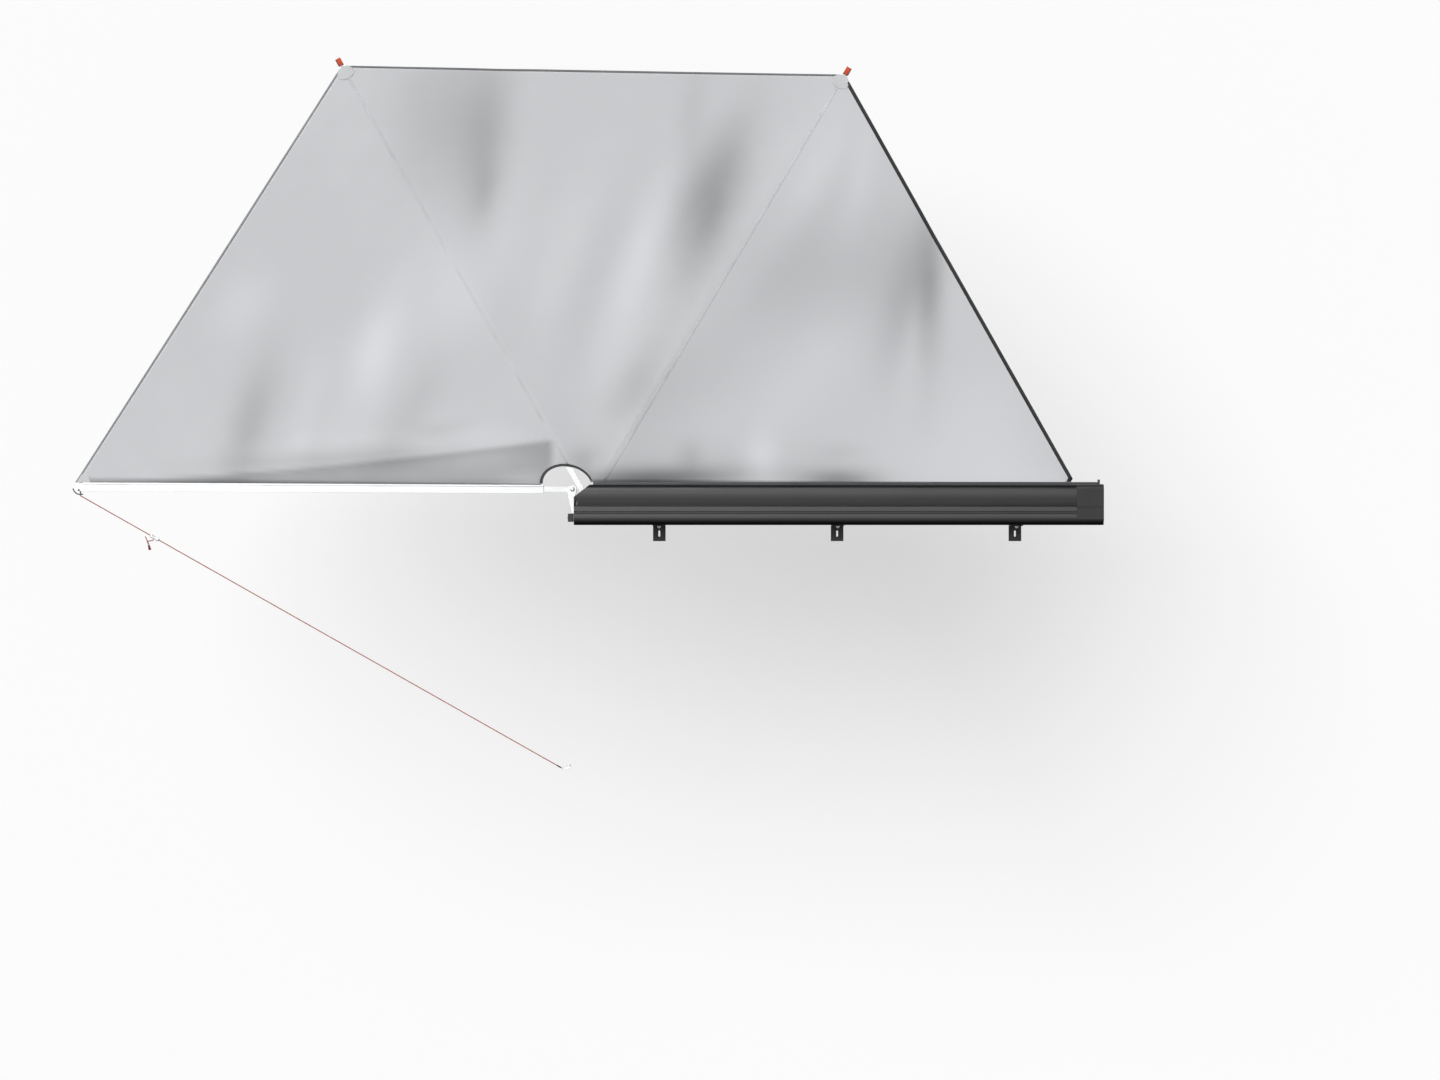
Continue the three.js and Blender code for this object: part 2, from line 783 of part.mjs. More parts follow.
function makeArm(arm) {
  const group = new THREE.Group();
  group.position.set(pivots[arm][0], pivots[arm][1], 0);
  group.rotation.z = THREE.MathUtils.degToRad(openAngles[arm]);
  awning.add(group);
  makeLink(arm, group);
  makeChannel(arm, group);
  makeTip(arm, group);
  makeLeg(arm, group);
}

// Canopy: three panels that meet over the two middle arms

function armDirection(arm) {
  const angle = THREE.MathUtils.degToRad(openAngles[arm]);
  return new THREE.Vector2(Math.cos(angle), Math.sin(angle));
}

// A point beside an arm: so far out from its pivot, and so far to its left.
function besideArm(arm, out, left) {
  const along = armDirection(arm);
  return new THREE.Vector2(
    pivots[arm][0] + along.x * out - along.y * left,
    pivots[arm][1] + along.y * out + along.x * left,
  );
}

function armTip(arm, left) {
  return besideArm(arm, armLengths[arm], left);
}

function cutoutPoint(angle) {
  const turn = THREE.MathUtils.degToRad(angle);
  const [x, y] = cutoutAt;
  return new THREE.Vector2(x + cutoutWide * Math.cos(turn), y + cutoutDeep * Math.sin(turn));
}

// How far out an arm's middle line leaves the cut-out, or the rail for the arm that crosses it.
function leavesCutout(arm) {
  let near = 0;
  let far = armLengths[arm] / 2;
  for (let i = 0; i < 40; i++) {
    const middle = (near + far) / 2;
    const point = besideArm(arm, middle, 0);
    const inside = Math.hypot((point.x - cutoutAt[0]) / cutoutWide, (point.y - cutoutAt[1]) / cutoutDeep) < 1;
    if (inside) near = middle;
    else far = middle;
  }
  return far;
}

// The turn about the cut-out at which a point lies.
function cutoutAngle(point) {
  const [across, deep] = [(point.x - cutoutAt[0]) / cutoutWide, (point.y - cutoutAt[1]) / cutoutDeep];
  return THREE.MathUtils.radToDeg(Math.atan2(deep, across));
}

const clothFront = railFront + fitGap;
const armBOut = (clothFront - pivots.b[1]) / armDirection("b").y;
const cutoutTurn = cutoutAngle(besideArm("a", leavesCutout("a"), 0));
const sideOffset = armWidth / 2 + fitGap;

function folds(x, y) {
  return foldShares.reduce((height, [atX, atY, across, along, turn, lift]) => {
    const angle = THREE.MathUtils.degToRad(turn);
    const [dx, dy] = [x - pivots.d[0] - atX * armLength, y - pivots.d[1] - atY * armLength];
    const u = (dx * Math.cos(angle) + dy * Math.sin(angle)) / (along * armLength);
    const v = (dy * Math.cos(angle) - dx * Math.sin(angle)) / (across * armLength);
    return height + lift * clothSag * Math.exp(-(u ** 2) - v ** 2);
  }, 0);
}

// The share of a panel's width that lies on an arm's shoulder.
function shoulderShare(width) {
  return Math.min(armShoulder / width, shoulderMostShare);
}

// Nought over an arm and its shoulders, rising to one in the middle of a panel.
function slackShare(share, width) {
  const edge = shoulderShare(width);
  const from = (share - edge) / (1 - 2 * edge);
  return Math.sin(Math.PI * Math.min(Math.max(from, 0), 1));
}

function panelSolid(inner, outer, lift) {
  const points = [];
  for (let i = 0; i <= clothRows; i++) {
    const out = i / clothRows;
    const width = inner(0).lerp(outer(0), out).distanceTo(inner(1).lerp(outer(1), out));
    const edge = shoulderShare(width);
    const hang = hangShares[0] * Math.sin(Math.PI * out ** hangShares[1]) + hangShares[2] * out;
    for (let j = 0; j <= clothColumns; j++) {
      const free = edge + ((1 - 2 * edge) * (j - 1)) / (clothColumns - 2);
      const share = j === 0 ? 0 : j === clothColumns ? 1 : free;
      const flat = inner(share).lerp(outer(share), out);
      const slack = slackShare(share, width) * (folds(flat.x, flat.y) - clothSag * hang);
      points.push([flat.x, flat.y, clothSeat + lift(share, out) + slack]);
    }
  }
  return sheetSolid(points, clothRows, clothColumns);
}

// A thin closed solid on a grid of points, with its lower face on them.
function sheetSolid(points, rows, columns) {
  const count = points.length;
  const lifted = points.map(([x, y, z]) => [x, y, z + clothThick]);
  const index = [];
  const at = (i, j) => i * (columns + 1) + j;
  const quad = (a, b, c, d) => index.push(a, b, c, a, c, d);
  for (let i = 0; i < rows; i++) {
    for (let j = 0; j < columns; j++) {
      quad(at(i, j), at(i + 1, j), at(i + 1, j + 1), at(i, j + 1));
      quad(count + at(i, j), count + at(i, j + 1), count + at(i + 1, j + 1), count + at(i + 1, j));
    }
  }
  const rim = [];
  for (let j = 0; j < columns; j++) rim.push(at(0, j));
  for (let i = 0; i < rows; i++) rim.push(at(i, columns));
  for (let j = columns; j > 0; j--) rim.push(at(rows, j));
  for (let i = rows; i > 0; i--) rim.push(at(i, 0));
  rim.forEach((a, k) => {
    const b = rim[(k + 1) % rim.length];
    quad(a, b, count + b, count + a);
  });
  const geometry = new THREE.BufferGeometry();
  geometry.setAttribute("position", new THREE.Float32BufferAttribute([...points, ...lifted].flat(), 3));
  geometry.setIndex(index);
  geometry.computeVertexNormals();
  return geometry;
}

function railLift(out) {
  return (railHeight / 2 + coverLip - clothSeat) * (1 - out) ** 2;
}

function makeRearPanel(gap) {
  const start = besideArm("d", cutoutBehind + cutoutWide, -sideOffset);
  const corner = besideArm("d", armLengths.d, -sideOffset);
  const inner = (share) => {
    if (share === 0) return start.clone();
    const turn = cutoutFromAngle + (cutoutTurn - cutoutFromAngle) * share;
    return cutoutPoint(turn).add(seamShift("a", gap * share));
  };
  const outer = (share) => corner.clone().lerp(armTip("a", gap), share);
  const lift = (share) => edgeLift * (1 - share) ** 4;
  piece(awning, "canopy_rear", panelSolid(inner, outer, lift), "cloth");
}

function makeMiddlePanel(gap) {
  const railPoint = besideArm("b", armBOut, gap);
  const inner = (share) => {
    if (share > seamBendShare) {
      return cutoutPoint(cutoutToAngle).lerp(railPoint, (share - seamBendShare) / (1 - seamBendShare));
    }
    const turn = cutoutTurn + (cutoutToAngle - cutoutTurn) * (share / seamBendShare);
    return cutoutPoint(turn).add(seamShift("a", -gap * (1 - share)));
  };
  const outer = (share) => armTip("a", -gap).lerp(armTip("b", gap), share);
  const lift = (share, out) => railLift(out) * share ** 2;
  piece(awning, "canopy_middle", panelSolid(inner, outer, lift), "cloth");
}

function makeFrontPanel(gap) {
  const railEnd = new THREE.Vector2(caseEnd - cornerInset, clothFront);
  const hemEnd = armTip("b", -gap).lerp(railEnd, 1 - cornerBlunt / armLengths.b);
  const railStop = new THREE.Vector2(railEnd.x - cornerBlunt, clothFront);
  const inner = (share) => besideArm("b", armBOut, -gap).lerp(railStop, share);
  const outer = (share) => armTip("b", -gap).lerp(hemEnd, share);
  piece(awning, "canopy_front", panelSolid(inner, outer, (share, out) => railLift(out)), "cloth");
}

// A small step to the left of an arm, so that two panels stop short of each other over it.
function seamShift(arm, step) {
  const along = armDirection(arm);
  return new THREE.Vector2(-along.y * step, along.x * step);
}

// Guy line

function fromTipPin(route) {
  const pin = besideArm("d", armLengths.d - eyePinInset, 0);
  const points = route.map(([x, y, z]) => new THREE.Vector3(pin.x + x, pin.y + y, ropeHeight + z));
  return new THREE.CatmullRomCurve3(points);
}

const ropePath = fromTipPin(ropeRoute);

function tube(route, radius, steps) {
  const section = new THREE.Shape(circle([0, 0], radius, ropeSides).map(([u, v]) => new THREE.Vector2(u, v)));
  return new THREE.ExtrudeGeometry(section, { steps, bevelEnabled: false, extrudePath: route });
}

function makeTipHook() {
  const tip = besideArm("d", armLengths.d - eyePinInset, 0);
  const low = ropeHeight - hookTall / 2;
  const high = ropeHeight + hookTall / 2;
  const centre = [tip.x, tip.y];
  const bow = [
    ...arc(centre, hookInner + hookBand, hookFromAngle, hookToAngle, smallSides),
    ...arc(centre, hookInner, hookToAngle, hookFromAngle, smallSides),
  ];
  const start = ropePath.getPoint(0);
  const reach = Math.hypot(start.x - tip.x, start.y - tip.y) - ropeRadius / 2;
  const aim = Math.atan2(start.y - tip.y, start.x - tip.x);
  const half = hookBand / 2;
  const spoke = block([0, reach], [-half, half], [low, high]).rotateZ(aim).translate(tip.x, tip.y, 0);
  const eye = alongZ(circle(centre, eyePin + fitGap + hookEyeWall, smallSides), low, high);
  const eyeHole = alongZ(circle(centre, eyePin + fitGap, smallSides), low - cutOver, high + cutOver);
  const nearRope = new THREE.CatmullRomCurve3(hookClearShares.map((share) => ropePath.getPoint(share)));
  const ropeClear = tube(nearRope, ropeRadius + 2 * fitGap, hookClearShares.length);
  const hook = cut(join(alongZ(bow, low, high), spoke, eye), eyeHole, ropeClear);
  piece(awning, "guy_tip_hook", hook, "trim");
}

// Turns a piece made along X into line with the rope, at a share of its length.
function ontoRope(geometry, share) {
  const along = ropePath.getTangentAt(share);
  const at = ropePath.getPointAt(share);
  const turn = new THREE.Quaternion().setFromUnitVectors(new THREE.Vector3(1, 0, 0), along);
  return geometry.applyQuaternion(turn).translate(at.x, at.y, at.z);
}

function makeTensioner() {
  const [long, wide, tall] = [gripLength / 2, gripWidth / 2, gripTall / 2];
  const body = block([-long, long], [-wide, wide], [-tall, tall]);
  const bore = alongX(circle([0, 0], ropeRadius + 2 * fitGap, smallSides), -gripLength, gripLength);
  piece(awning, "guy_tensioner", ontoRope(cut(body, bore), gripShare), "steel");
}

function makeSnapHook() {
  const middle = snapLength / 2 + snapSlack;
  const straight = (snapLength - snapWidth) / 2;
  const oval = (inset) => [
    ...arc([middle + straight, 0], snapWidth / 2 - inset, -90, 90, smallSides / 2),
    ...arc([middle - straight, 0], snapWidth / 2 - inset, 90, 270, smallSides / 2),
  ];
  const snap = alongZ(oval(0), -snapWire / 2, snapWire / 2, [oval(snapWire)]);
  snap.rotateZ(THREE.MathUtils.degToRad(snapTurn));
  piece(awning, "guy_snap_hook", ontoRope(snap, 1), "steel");
}

function makeTail() {
  const path = fromTipPin(tailRoute);
  piece(awning, "guy_tail", tube(path, ropeRadius, tailSteps), "rope");
  const end = path.getPoint(1);
  const outline = [
    [pullNarrow / 2, -fitGap],
    [-pullNarrow / 2, -fitGap],
    [-pullWide / 2, -pullLength],
    [pullWide / 2, -pullLength],
  ];
  const pull = alongZ(outline, -pullThick / 2, pullThick / 2);
  pull.rotateZ(THREE.MathUtils.degToRad(pullTurn));
  piece(awning, "guy_pull", pull.translate(end.x, end.y, end.z), "pull");
}

makeCover();
makeBackPlate();
makeFrontCap();
makeRearCap();
makeRail();
makeFlapRoll();
makeBrackets();
makeHub();
makeHubFasteners();
makeArm("d");
makeArm("a");
makeArm("b");
makeRearPanel(seamGap / 2);
makeMiddlePanel(seamGap / 2);
makeFrontPanel(seamGap / 2);
makeTipHook();
piece(awning, "guy_rope", tube(ropePath, ropeRadius, ropeSteps), "rope");
makeTensioner();
makeSnapHook();
makeTail();

export default awning;
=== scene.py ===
"""A fan awning for the side of a vehicle, open over half a circle and seen from straight above.

Metres. X runs along the vehicle to its front, Y away from it, and Z up. The origin is the middle of the
land on the back plate, which lies against the roof rack. Every new piece is a surface worked out on a grid.
"""

import logging
import math
from dataclasses import dataclass
from enum import Enum
from typing import Sequence

import bmesh
import bpy
import numpy as np
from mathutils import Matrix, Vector


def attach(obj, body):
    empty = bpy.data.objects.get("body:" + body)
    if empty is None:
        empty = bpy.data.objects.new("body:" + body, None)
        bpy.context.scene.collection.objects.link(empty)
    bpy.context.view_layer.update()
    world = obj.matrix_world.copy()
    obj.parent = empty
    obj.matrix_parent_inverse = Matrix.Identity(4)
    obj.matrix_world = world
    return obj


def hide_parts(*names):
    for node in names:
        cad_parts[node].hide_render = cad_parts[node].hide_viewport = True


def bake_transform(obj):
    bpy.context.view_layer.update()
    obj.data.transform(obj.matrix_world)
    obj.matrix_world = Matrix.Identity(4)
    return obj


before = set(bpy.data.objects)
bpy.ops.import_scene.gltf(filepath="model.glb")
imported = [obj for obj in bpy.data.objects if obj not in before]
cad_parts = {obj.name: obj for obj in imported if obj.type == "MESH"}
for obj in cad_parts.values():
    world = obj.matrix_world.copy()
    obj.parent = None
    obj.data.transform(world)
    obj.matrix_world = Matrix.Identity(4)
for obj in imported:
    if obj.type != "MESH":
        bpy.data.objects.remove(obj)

Array = np.ndarray
Point = tuple[float, float, float]
Colour = tuple[float, float, float]
Socket = bpy.types.NodeSocket
Object = bpy.types.Object

logging.basicConfig(level=logging.INFO, format="%(message)s")
log = logging.getLogger("awning")

FACE_CORNERS = ((0, 0), (0, 1), (1, 1), (1, 0))
UPWARDS: Point = (0, 0, 1)
SPAN_STEPS = 40
LEAST_LEAN = 0.3
SHARP_ANGLE = math.radians(38)
EASED_ANGLE = math.radians(32)
WELD_REACH = 0.00001


# Points and outlines


def unit(vectors: Array) -> Array:
    """Scales each vector to length one: v / |v|."""
    return vectors / np.maximum(np.linalg.norm(vectors, axis=-1, keepdims=True), 1e-12)


def together(*values: Array | float) -> Array:
    """Points from their coordinates, each an array or one number for all."""
    return np.stack(np.broadcast_arrays(*values), axis=-1)


def circle(radius: float, count: int) -> Array:
    """Points on a circle: (r cos a, r sin a).

    Args:
        radius: The circle's radius.
        count: How many points.

    Returns:
        An array of count points in a plane.
    """
    angle = np.linspace(0, 2 * math.pi, count, endpoint=False)
    return radius * together(np.cos(angle), np.sin(angle))


def arc(centre: Sequence[float], radius: float, start: float, end: float, count: int) -> Array:
    """Points on part of a circle: c + (r cos a, r sin a), with a from start to end.

    Args:
        centre: The arc's centre.
        radius: Its radius.
        start: The first angle in degrees.
        end: The last angle in degrees.
        count: How many points, both ends included.

    Returns:
        An array of count points in a plane.
    """
    angle = np.radians(np.linspace(start, end, count))
    return np.array(centre) + radius * together(np.cos(angle), np.sin(angle))


def rounded_box(width: float, height: float, radius: float, steps: int = 4) -> Array:
    """A rectangle about the origin with a quarter circle at each corner.

    Args:
        width: Its size along the first axis.
        height: Its size along the second axis.
        radius: The radius of its corners.
        steps: How many edges each corner has.

    Returns:
        The closed outline, counter-clockwise.
    """
    across, tall = width / 2 - radius, height / 2 - radius
    corners = ((across, tall, 0), (-across, tall, 90), (-across, -tall, 180), (across, -tall, 270))
    return np.concatenate([arc((x, y), radius, turn, turn + 90, steps + 1) for x, y, turn in corners])


def six_sided(flats: float, count: int) -> Array:
    """The reach of a hexagon at each of count even turns: (f / 2) / cos(a mod 60 - 30).

    Args:
        flats: Its width across flats.
        count: How many turns.

    Returns:
        One radius for each turn.
    """
    angle = np.linspace(0, 360, count, endpoint=False)
    return flats / 2 / np.cos(np.radians(angle % 60 - 30))


def inset(outline: Array, depth: float) -> Array:
    """Draws a counter-clockwise outline in: p - d (n0 + n1) / (1 + n0.n1), with n0 and n1 its edges' normals.

    Args:
        outline: The closed outline.
        depth: How far each edge moves in.

    Returns:
        The outline moved in, point for point.
    """
    edge = unit(np.roll(outline, -1, axis=0) - outline)
    after = together(edge[:, 1], -edge[:, 0])
    before = np.roll(after, 1, axis=0)
    lean = np.maximum(1 + np.sum(before * after, axis=1, keepdims=True), LEAST_LEAN)
    return outline - depth * (before + after) / lean


def smooth(low: float, high: float, value: Array) -> Array:
    """Rises from nought to one between low and high: t t (3 - 2 t)."""
    share = np.clip((value - low) / (high - low), 0, 1)
    return share * share * (3 - 2 * share)


def rounded_off(past: Array, span: float, loss: float) -> Array:
    """Draws a form in towards its end: sqrt(1 - loss (p / span)^2), with p how far a point is past the start.

    Args:
        past: How far each point is past the start, or less than nought before it.
        span: How far the end is past the start.
        loss: How much of its square the size loses at the end.

    Returns:
        The form's scale at each point.
    """
    return np.sqrt(np.clip(1 - (np.clip(past, 0, 1) / span) ** 2 * loss, 0, 1))


def through(points: Array, spacing: float) -> Array:
    """The centripetal Catmull-Rom curve through points, at an even spacing.

    On each span the curve is the cubic with tangents
    t1 = (x1-x0)/d0 - (x2-x0)/(d0+d1) + (x2-x1)/d1 and its like at the other end, with d the root of a span's length.

    Args:
        points: The points that it runs through.
        spacing: About how far apart the new points are.

    Returns:
        Evenly spaced points, both ends included.
    """
    ends = [2 * points[:1] - points[1:2], points, 2 * points[-1:] - points[-2:-1]]
    whole = np.concatenate(ends)
    gap = np.sqrt(np.linalg.norm(np.diff(whole, axis=0), axis=1))[:, None]
    x0, x1, x2, x3 = whole[:-3], whole[1:-2], whole[2:-1], whole[3:]
    d0, d1, d2 = gap[:-2], gap[1:-1], gap[2:]
    leave = d1 * ((x1 - x0) / d0 - (x2 - x0) / (d0 + d1) + (x2 - x1) / d1)
    reach = d1 * ((x2 - x1) / d1 - (x3 - x1) / (d1 + d2) + (x3 - x2) / d2)
    t = np.linspace(0, 1, SPAN_STEPS, endpoint=False)[None, :, None]
    bend, twist = 3 * (x2 - x1) - 2 * leave - reach, 2 * (x1 - x2) + leave + reach
    dense = x1[:, None] + leave[:, None] * t + bend[:, None] * t**2 + twist[:, None] * t**3
    dense = np.concatenate([dense.reshape(-1, points.shape[1]), points[-1:]])
    run = np.concatenate([[0], np.cumsum(np.linalg.norm(np.diff(dense, axis=0), axis=1))])
    count = max(int(round(run[-1] / spacing)), 2) + 1
    at = np.linspace(0, run[-1], count)
    return np.stack([np.interp(at, run, axis) for axis in dense.T], axis=-1)


def carried(section: Array, path: Array, up: Point, swell: Array | None = None, closed: bool = False) -> Array:
    """Carries a section along a path: p + s (u side + v top), side = up x tangent and top = tangent x side.

    Args:
        section: Points (u, v) of the section.
        path: The points that it is carried along.
        up: The direction that v leans towards.
        swell: The section's scale at each point of the path, one number or a pair for u and v.
        closed: Whether the path is a ring.

    Returns:
        A grid of points, one row for each point of the path.
    """
    if closed:
        tangent = unit(np.roll(path, -1, axis=0) - np.roll(path, 1, axis=0))
    else:
        tangent = unit(np.gradient(path, axis=0))
    side = unit(np.cross(np.array(up, float), tangent))
    top = np.cross(tangent, side)
    scale = np.ones((len(path), 2)) if swell is None else np.broadcast_to(np.atleast_2d(swell.T).T, (len(path), 2))
    u, v = scale[:, :1] * section[None, :, 0], scale[:, 1:] * section[None, :, 1]
    return path[:, None] + u[..., None] * side[:, None] + v[..., None] * top[:, None]


def turned(heights: Sequence[float], radii: Array | Sequence[float], count: int = 32) -> Array:
    """A turned form about Z: (r cos a, r sin a, h), with one r for each height, or one for each height and turn.

    Args:
        heights: The height of each row.
        radii: The radius of each row, or of each point.
        count: How many points go round.

    Returns:
        A grid of points that closes on itself round the axis.
    """
    radius = np.asarray(radii, float)
    radius = radius[:, None] if radius.ndim == 1 else radius
    ring = circle(1.0, count)[None] * radius[..., None]
    tall = np.broadcast_to(np.asarray(heights, float)[:, None, None], (len(heights), count, 1))
    return np.concatenate([np.broadcast_to(ring, (len(heights), count, 2)), tall], axis=2)


def barrel(low: float, high: float, radius: float, soft: float, rim: float, count: int = 32) -> Array:
    """A turned pin or washer whose rims are eased, drawn in by rim over the height soft.

    Args:
        low: The lower face's height.
        high: The upper face's height.
        radius: Its radius.
        soft: How tall each eased rim is.
        rim: How far each eased rim is drawn in.
        count: How many points go round.

    Returns:
        A grid of points that closes on itself round the axis.
    """
    return turned([low, low + soft, high - soft, high], [radius - rim, radius, radius, radius - rim], count)


def pipe(low: float, high: float, outer: float, inner: float, soft: float, count: int = 32) -> Array:
    """A tube's wall, up its outside and down its inside, with eased rims.

    Args:
        low: The lower end's height.
        high: The upper end's height.
        outer: The outer radius.
        inner: The inner radius.
        soft: How far each rim is eased.
        count: How many points go round.

    Returns:
        A grid of points that closes on itself both ways.
    """
    outside = [low, low + soft, high - soft, high]
    wide, narrow = outer - soft, inner + soft
    return turned([*outside, *outside[::-1]], [wide, outer, outer, wide, narrow, inner, inner, narrow], count)


def nut(low: float, tall: float, flats: float, bevel: float, count: int = 48) -> Array:
    """A hexagon nut, cut by a cone at each face.

    Args:
        low: Its lower face's height.
        tall: How tall it is.
        flats: Its width across flats.
        bevel: The cone's reach near a face, as a share of half that width.
        count: How many points go round.

    Returns:
        A grid of points that closes on itself round the axis.
    """
    cone = flats / 2 * np.array([0.96, bevel, 1.16, 1.16, bevel, 0.96])
    steps = np.array([0, 0.05, 0.12, 0.88, 0.95, 1.0]) * tall
    return turned(low + steps, np.minimum(six_sided(flats, count)[None], cone[:, None]), count)


@dataclass(frozen=True)
class Place:
    """A spot on the awning: where it is, and which way its own X and Z point."""

    origin: Point = (0.0, 0.0, 0.0)
    along: Point = (1.0, 0.0, 0.0)
    up: Point = (0.0, 0.0, 1.0)

    def axes(self) -> Array:
        """Its three unit axes as rows, with Z squared up to X."""
        x = unit(np.array(self.along, float))
        z = np.array(self.up, float)
        z = unit(z - (z @ x) * x)
        return np.stack([x, np.cross(z, x), z])

    def put(self, points: Array) -> Array:
        """Carries points from this place into the awning's frame: origin + p . axes."""
        return np.array(self.origin) + np.asarray(points, float) @ self.axes()

    def at(self, x: float, y: float, z: float) -> Point:
        """One point of this place in the awning's frame."""
        return tuple(float(value) for value in self.put(np.array([x, y, z])))


# Meshes


@dataclass
class Patch:
    """One surface: rows by columns of points, which may close on themselves or be capped at an end."""

    points: Array
    loop_rows: bool = False
    loop_columns: bool = False
    caps: bool = False

    def grids(self) -> tuple[Array, Array]:
        """The grid of point numbers and of lengths in metres along and across it, with closing rows repeated.

        Returns:
            The numbers, and the lengths as (u, v).
        """
        rows, columns = self.points.shape[:2]
        index, points = np.arange(rows * columns).reshape(rows, columns), self.points
        if self.loop_rows:
            index, points = np.concatenate([index, index[:1]]), np.concatenate([points, points[:1]])
        if self.loop_columns:
            index = np.concatenate([index, index[:, :1]], axis=1)
            points = np.concatenate([points, points[:, :1]], axis=1)
        across = np.linalg.norm(np.diff(points, axis=1), axis=2).mean(axis=0)
        along = np.linalg.norm(np.diff(points, axis=0), axis=2).mean(axis=1)
        u, v = np.concatenate([[0], np.cumsum(across)]), np.concatenate([[0], np.cumsum(along)])
        return index, together(u[None, :], v[:, None])

    def faces(self) -> tuple[list[list[int]], Array]:
        """Its faces as point numbers, and each face corner's length in metres for the UV map.

        Returns:
            The faces, and the corners' (u, v) in the same order.
        """
        index, uv = self.grids()
        rows, columns = index.shape[0] - 1, index.shape[1] - 1
        pick = [(slice(r, rows + r), slice(c, columns + c)) for r, c in FACE_CORNERS]
        quads = np.stack([index[p] for p in pick], axis=-1).reshape(-1, 4)
        corners = [np.stack([uv[p] for p in pick], axis=2).reshape(-1, 2)]
        faces = quads.tolist()
        if self.caps:
            for row in (self.points.shape[1] * 0, (self.points.shape[0] - 1) * self.points.shape[1]):
                ring = np.arange(row, row + self.points.shape[1])
                faces.append(ring.tolist())
                corners.append(flat_on(self.points.reshape(-1, 3)[ring]))
        return faces, np.concatenate(corners)


def flat_on(ring: Array) -> Array:
    """A ring's points in its own plane, along its first edge and square to it."""
    out = ring - ring[0]
    along = unit(out[len(ring) // 4])
    square = out[len(ring) // 2] - (out[len(ring) // 2] @ along) * along
    return together(out @ along, out @ unit(square))


def solid_round(points: Array) -> Patch:
    """A surface closed round its columns, with both ends capped."""
    return Patch(points, loop_columns=True, caps=True)


def hollow_round(points: Array) -> Patch:
    """A surface closed round its columns and its rows, such as the wall of a tube."""
    return Patch(points, loop_rows=True, loop_columns=True)


def slab(outline: Array, low: float, high: float, rim: float, steps: int = 3) -> Array:
    """An outline drawn out along Z with rounded rims: inset r (1 - sin a) at height r (1 - cos a) from each face.

    Args:
        outline: The closed outline, counter-clockwise.
        low: The lower face's height.
        high: The upper face's height.
        rim: The radius of both rims.
        steps: How many edges each rim has.

    Returns:
        A grid of points, from the lower face to the upper.
    """
    angle = np.radians(np.linspace(0, 90, steps + 1))
    depth, rise = rim * (1 - np.sin(angle)), rim * (1 - np.cos(angle))
    depths = np.concatenate([depth, depth[::-1]])
    heights = np.concatenate([low + rise, (high - rise)[::-1]])
    rings = np.stack([inset(outline, float(value)) for value in depths])
    tall = np.broadcast_to(heights[:, None, None], rings.shape[:2] + (1,))
    return np.concatenate([rings, tall], axis=2)


@dataclass(frozen=True)
class Carry:
    """What a new piece moves with, the slot that its finish belongs to, and the CAD nodes that it stands for."""

    body: str
    slot: str
    nodes: tuple[str, ...] = ()


def make_mesh(name: str, patches: Sequence[Patch], outward: bool) -> bpy.types.Mesh:
    """Joins patches into one mesh with a UV map in metres.

    Args:
        name: The mesh's name.
        patches: Its surfaces.
        outward: Whether to turn every face outwards, as on a closed body.

    Returns:
        The mesh, shaded smooth but for its sharp edges.
    """
    faces: list[list[int]] = []
    lengths: list[Array] = []
    start = 0
    for patch in patches:
        own, uv = patch.faces()
        faces.extend([[corner + start for corner in face] for face in own])
        lengths.append(uv)
        start += patch.points.shape[0] * patch.points.shape[1]
    points = np.concatenate([patch.points.reshape(-1, 3) for patch in patches])
    mesh = bpy.data.meshes.new(name)
    mesh.from_pydata(points.tolist(), [], faces)
    mesh.uv_layers.new(name="UVMap").data.foreach_set("uv", np.concatenate(lengths).astype(np.float32).ravel())
    if outward:
        body = bmesh.new()
        body.from_mesh(mesh)
        bmesh.ops.recalc_face_normals(body, faces=body.faces)
        body.to_mesh(mesh)
        body.free()
    mesh.polygons.foreach_set("use_smooth", np.ones(len(mesh.polygons), bool))
    mesh.set_sharp_from_angle(angle=SHARP_ANGLE)
    mesh.update()
    return mesh


def put_in(name: str, data: bpy.types.ID) -> Object:
    """A new object in the scene."""
    thing = bpy.data.objects.new(name, data)
    bpy.context.scene.collection.objects.link(thing)
    return thing


def make_piece(
    name: str, patches: Sequence[Patch], finish: "Finish", carry: Carry, outward: bool = True, ride: bool = True
) -> Object:
    """Builds one named piece, dresses it and lets it ride.

    Args:
        name: The piece's name.
        patches: Its surfaces.
        finish: Its finish.
        carry: What it moves with and stands for.
        outward: Whether it is a closed body.
        ride: Whether it rides on one body, as all but cloth between bodies does.

    Returns:
        The new object.
    """
    mesh = make_mesh(name, patches, outward)
    mesh.materials.append(finish.material())
    piece = put_in(name, mesh)
    if ride:
        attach(piece, carry.body)
    if carry.nodes:
        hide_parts(*carry.nodes)
    log.info("%s: %d points, moves with %s", name, len(mesh.vertices), carry.body)
    return piece


def thicken(piece: Object, thickness: float) -> None:
    """Gives a sheet its thickness, half on each side."""
    solid = piece.modifiers.new("thickness", "SOLIDIFY")
    solid.thickness = thickness
    solid.offset = 0.0


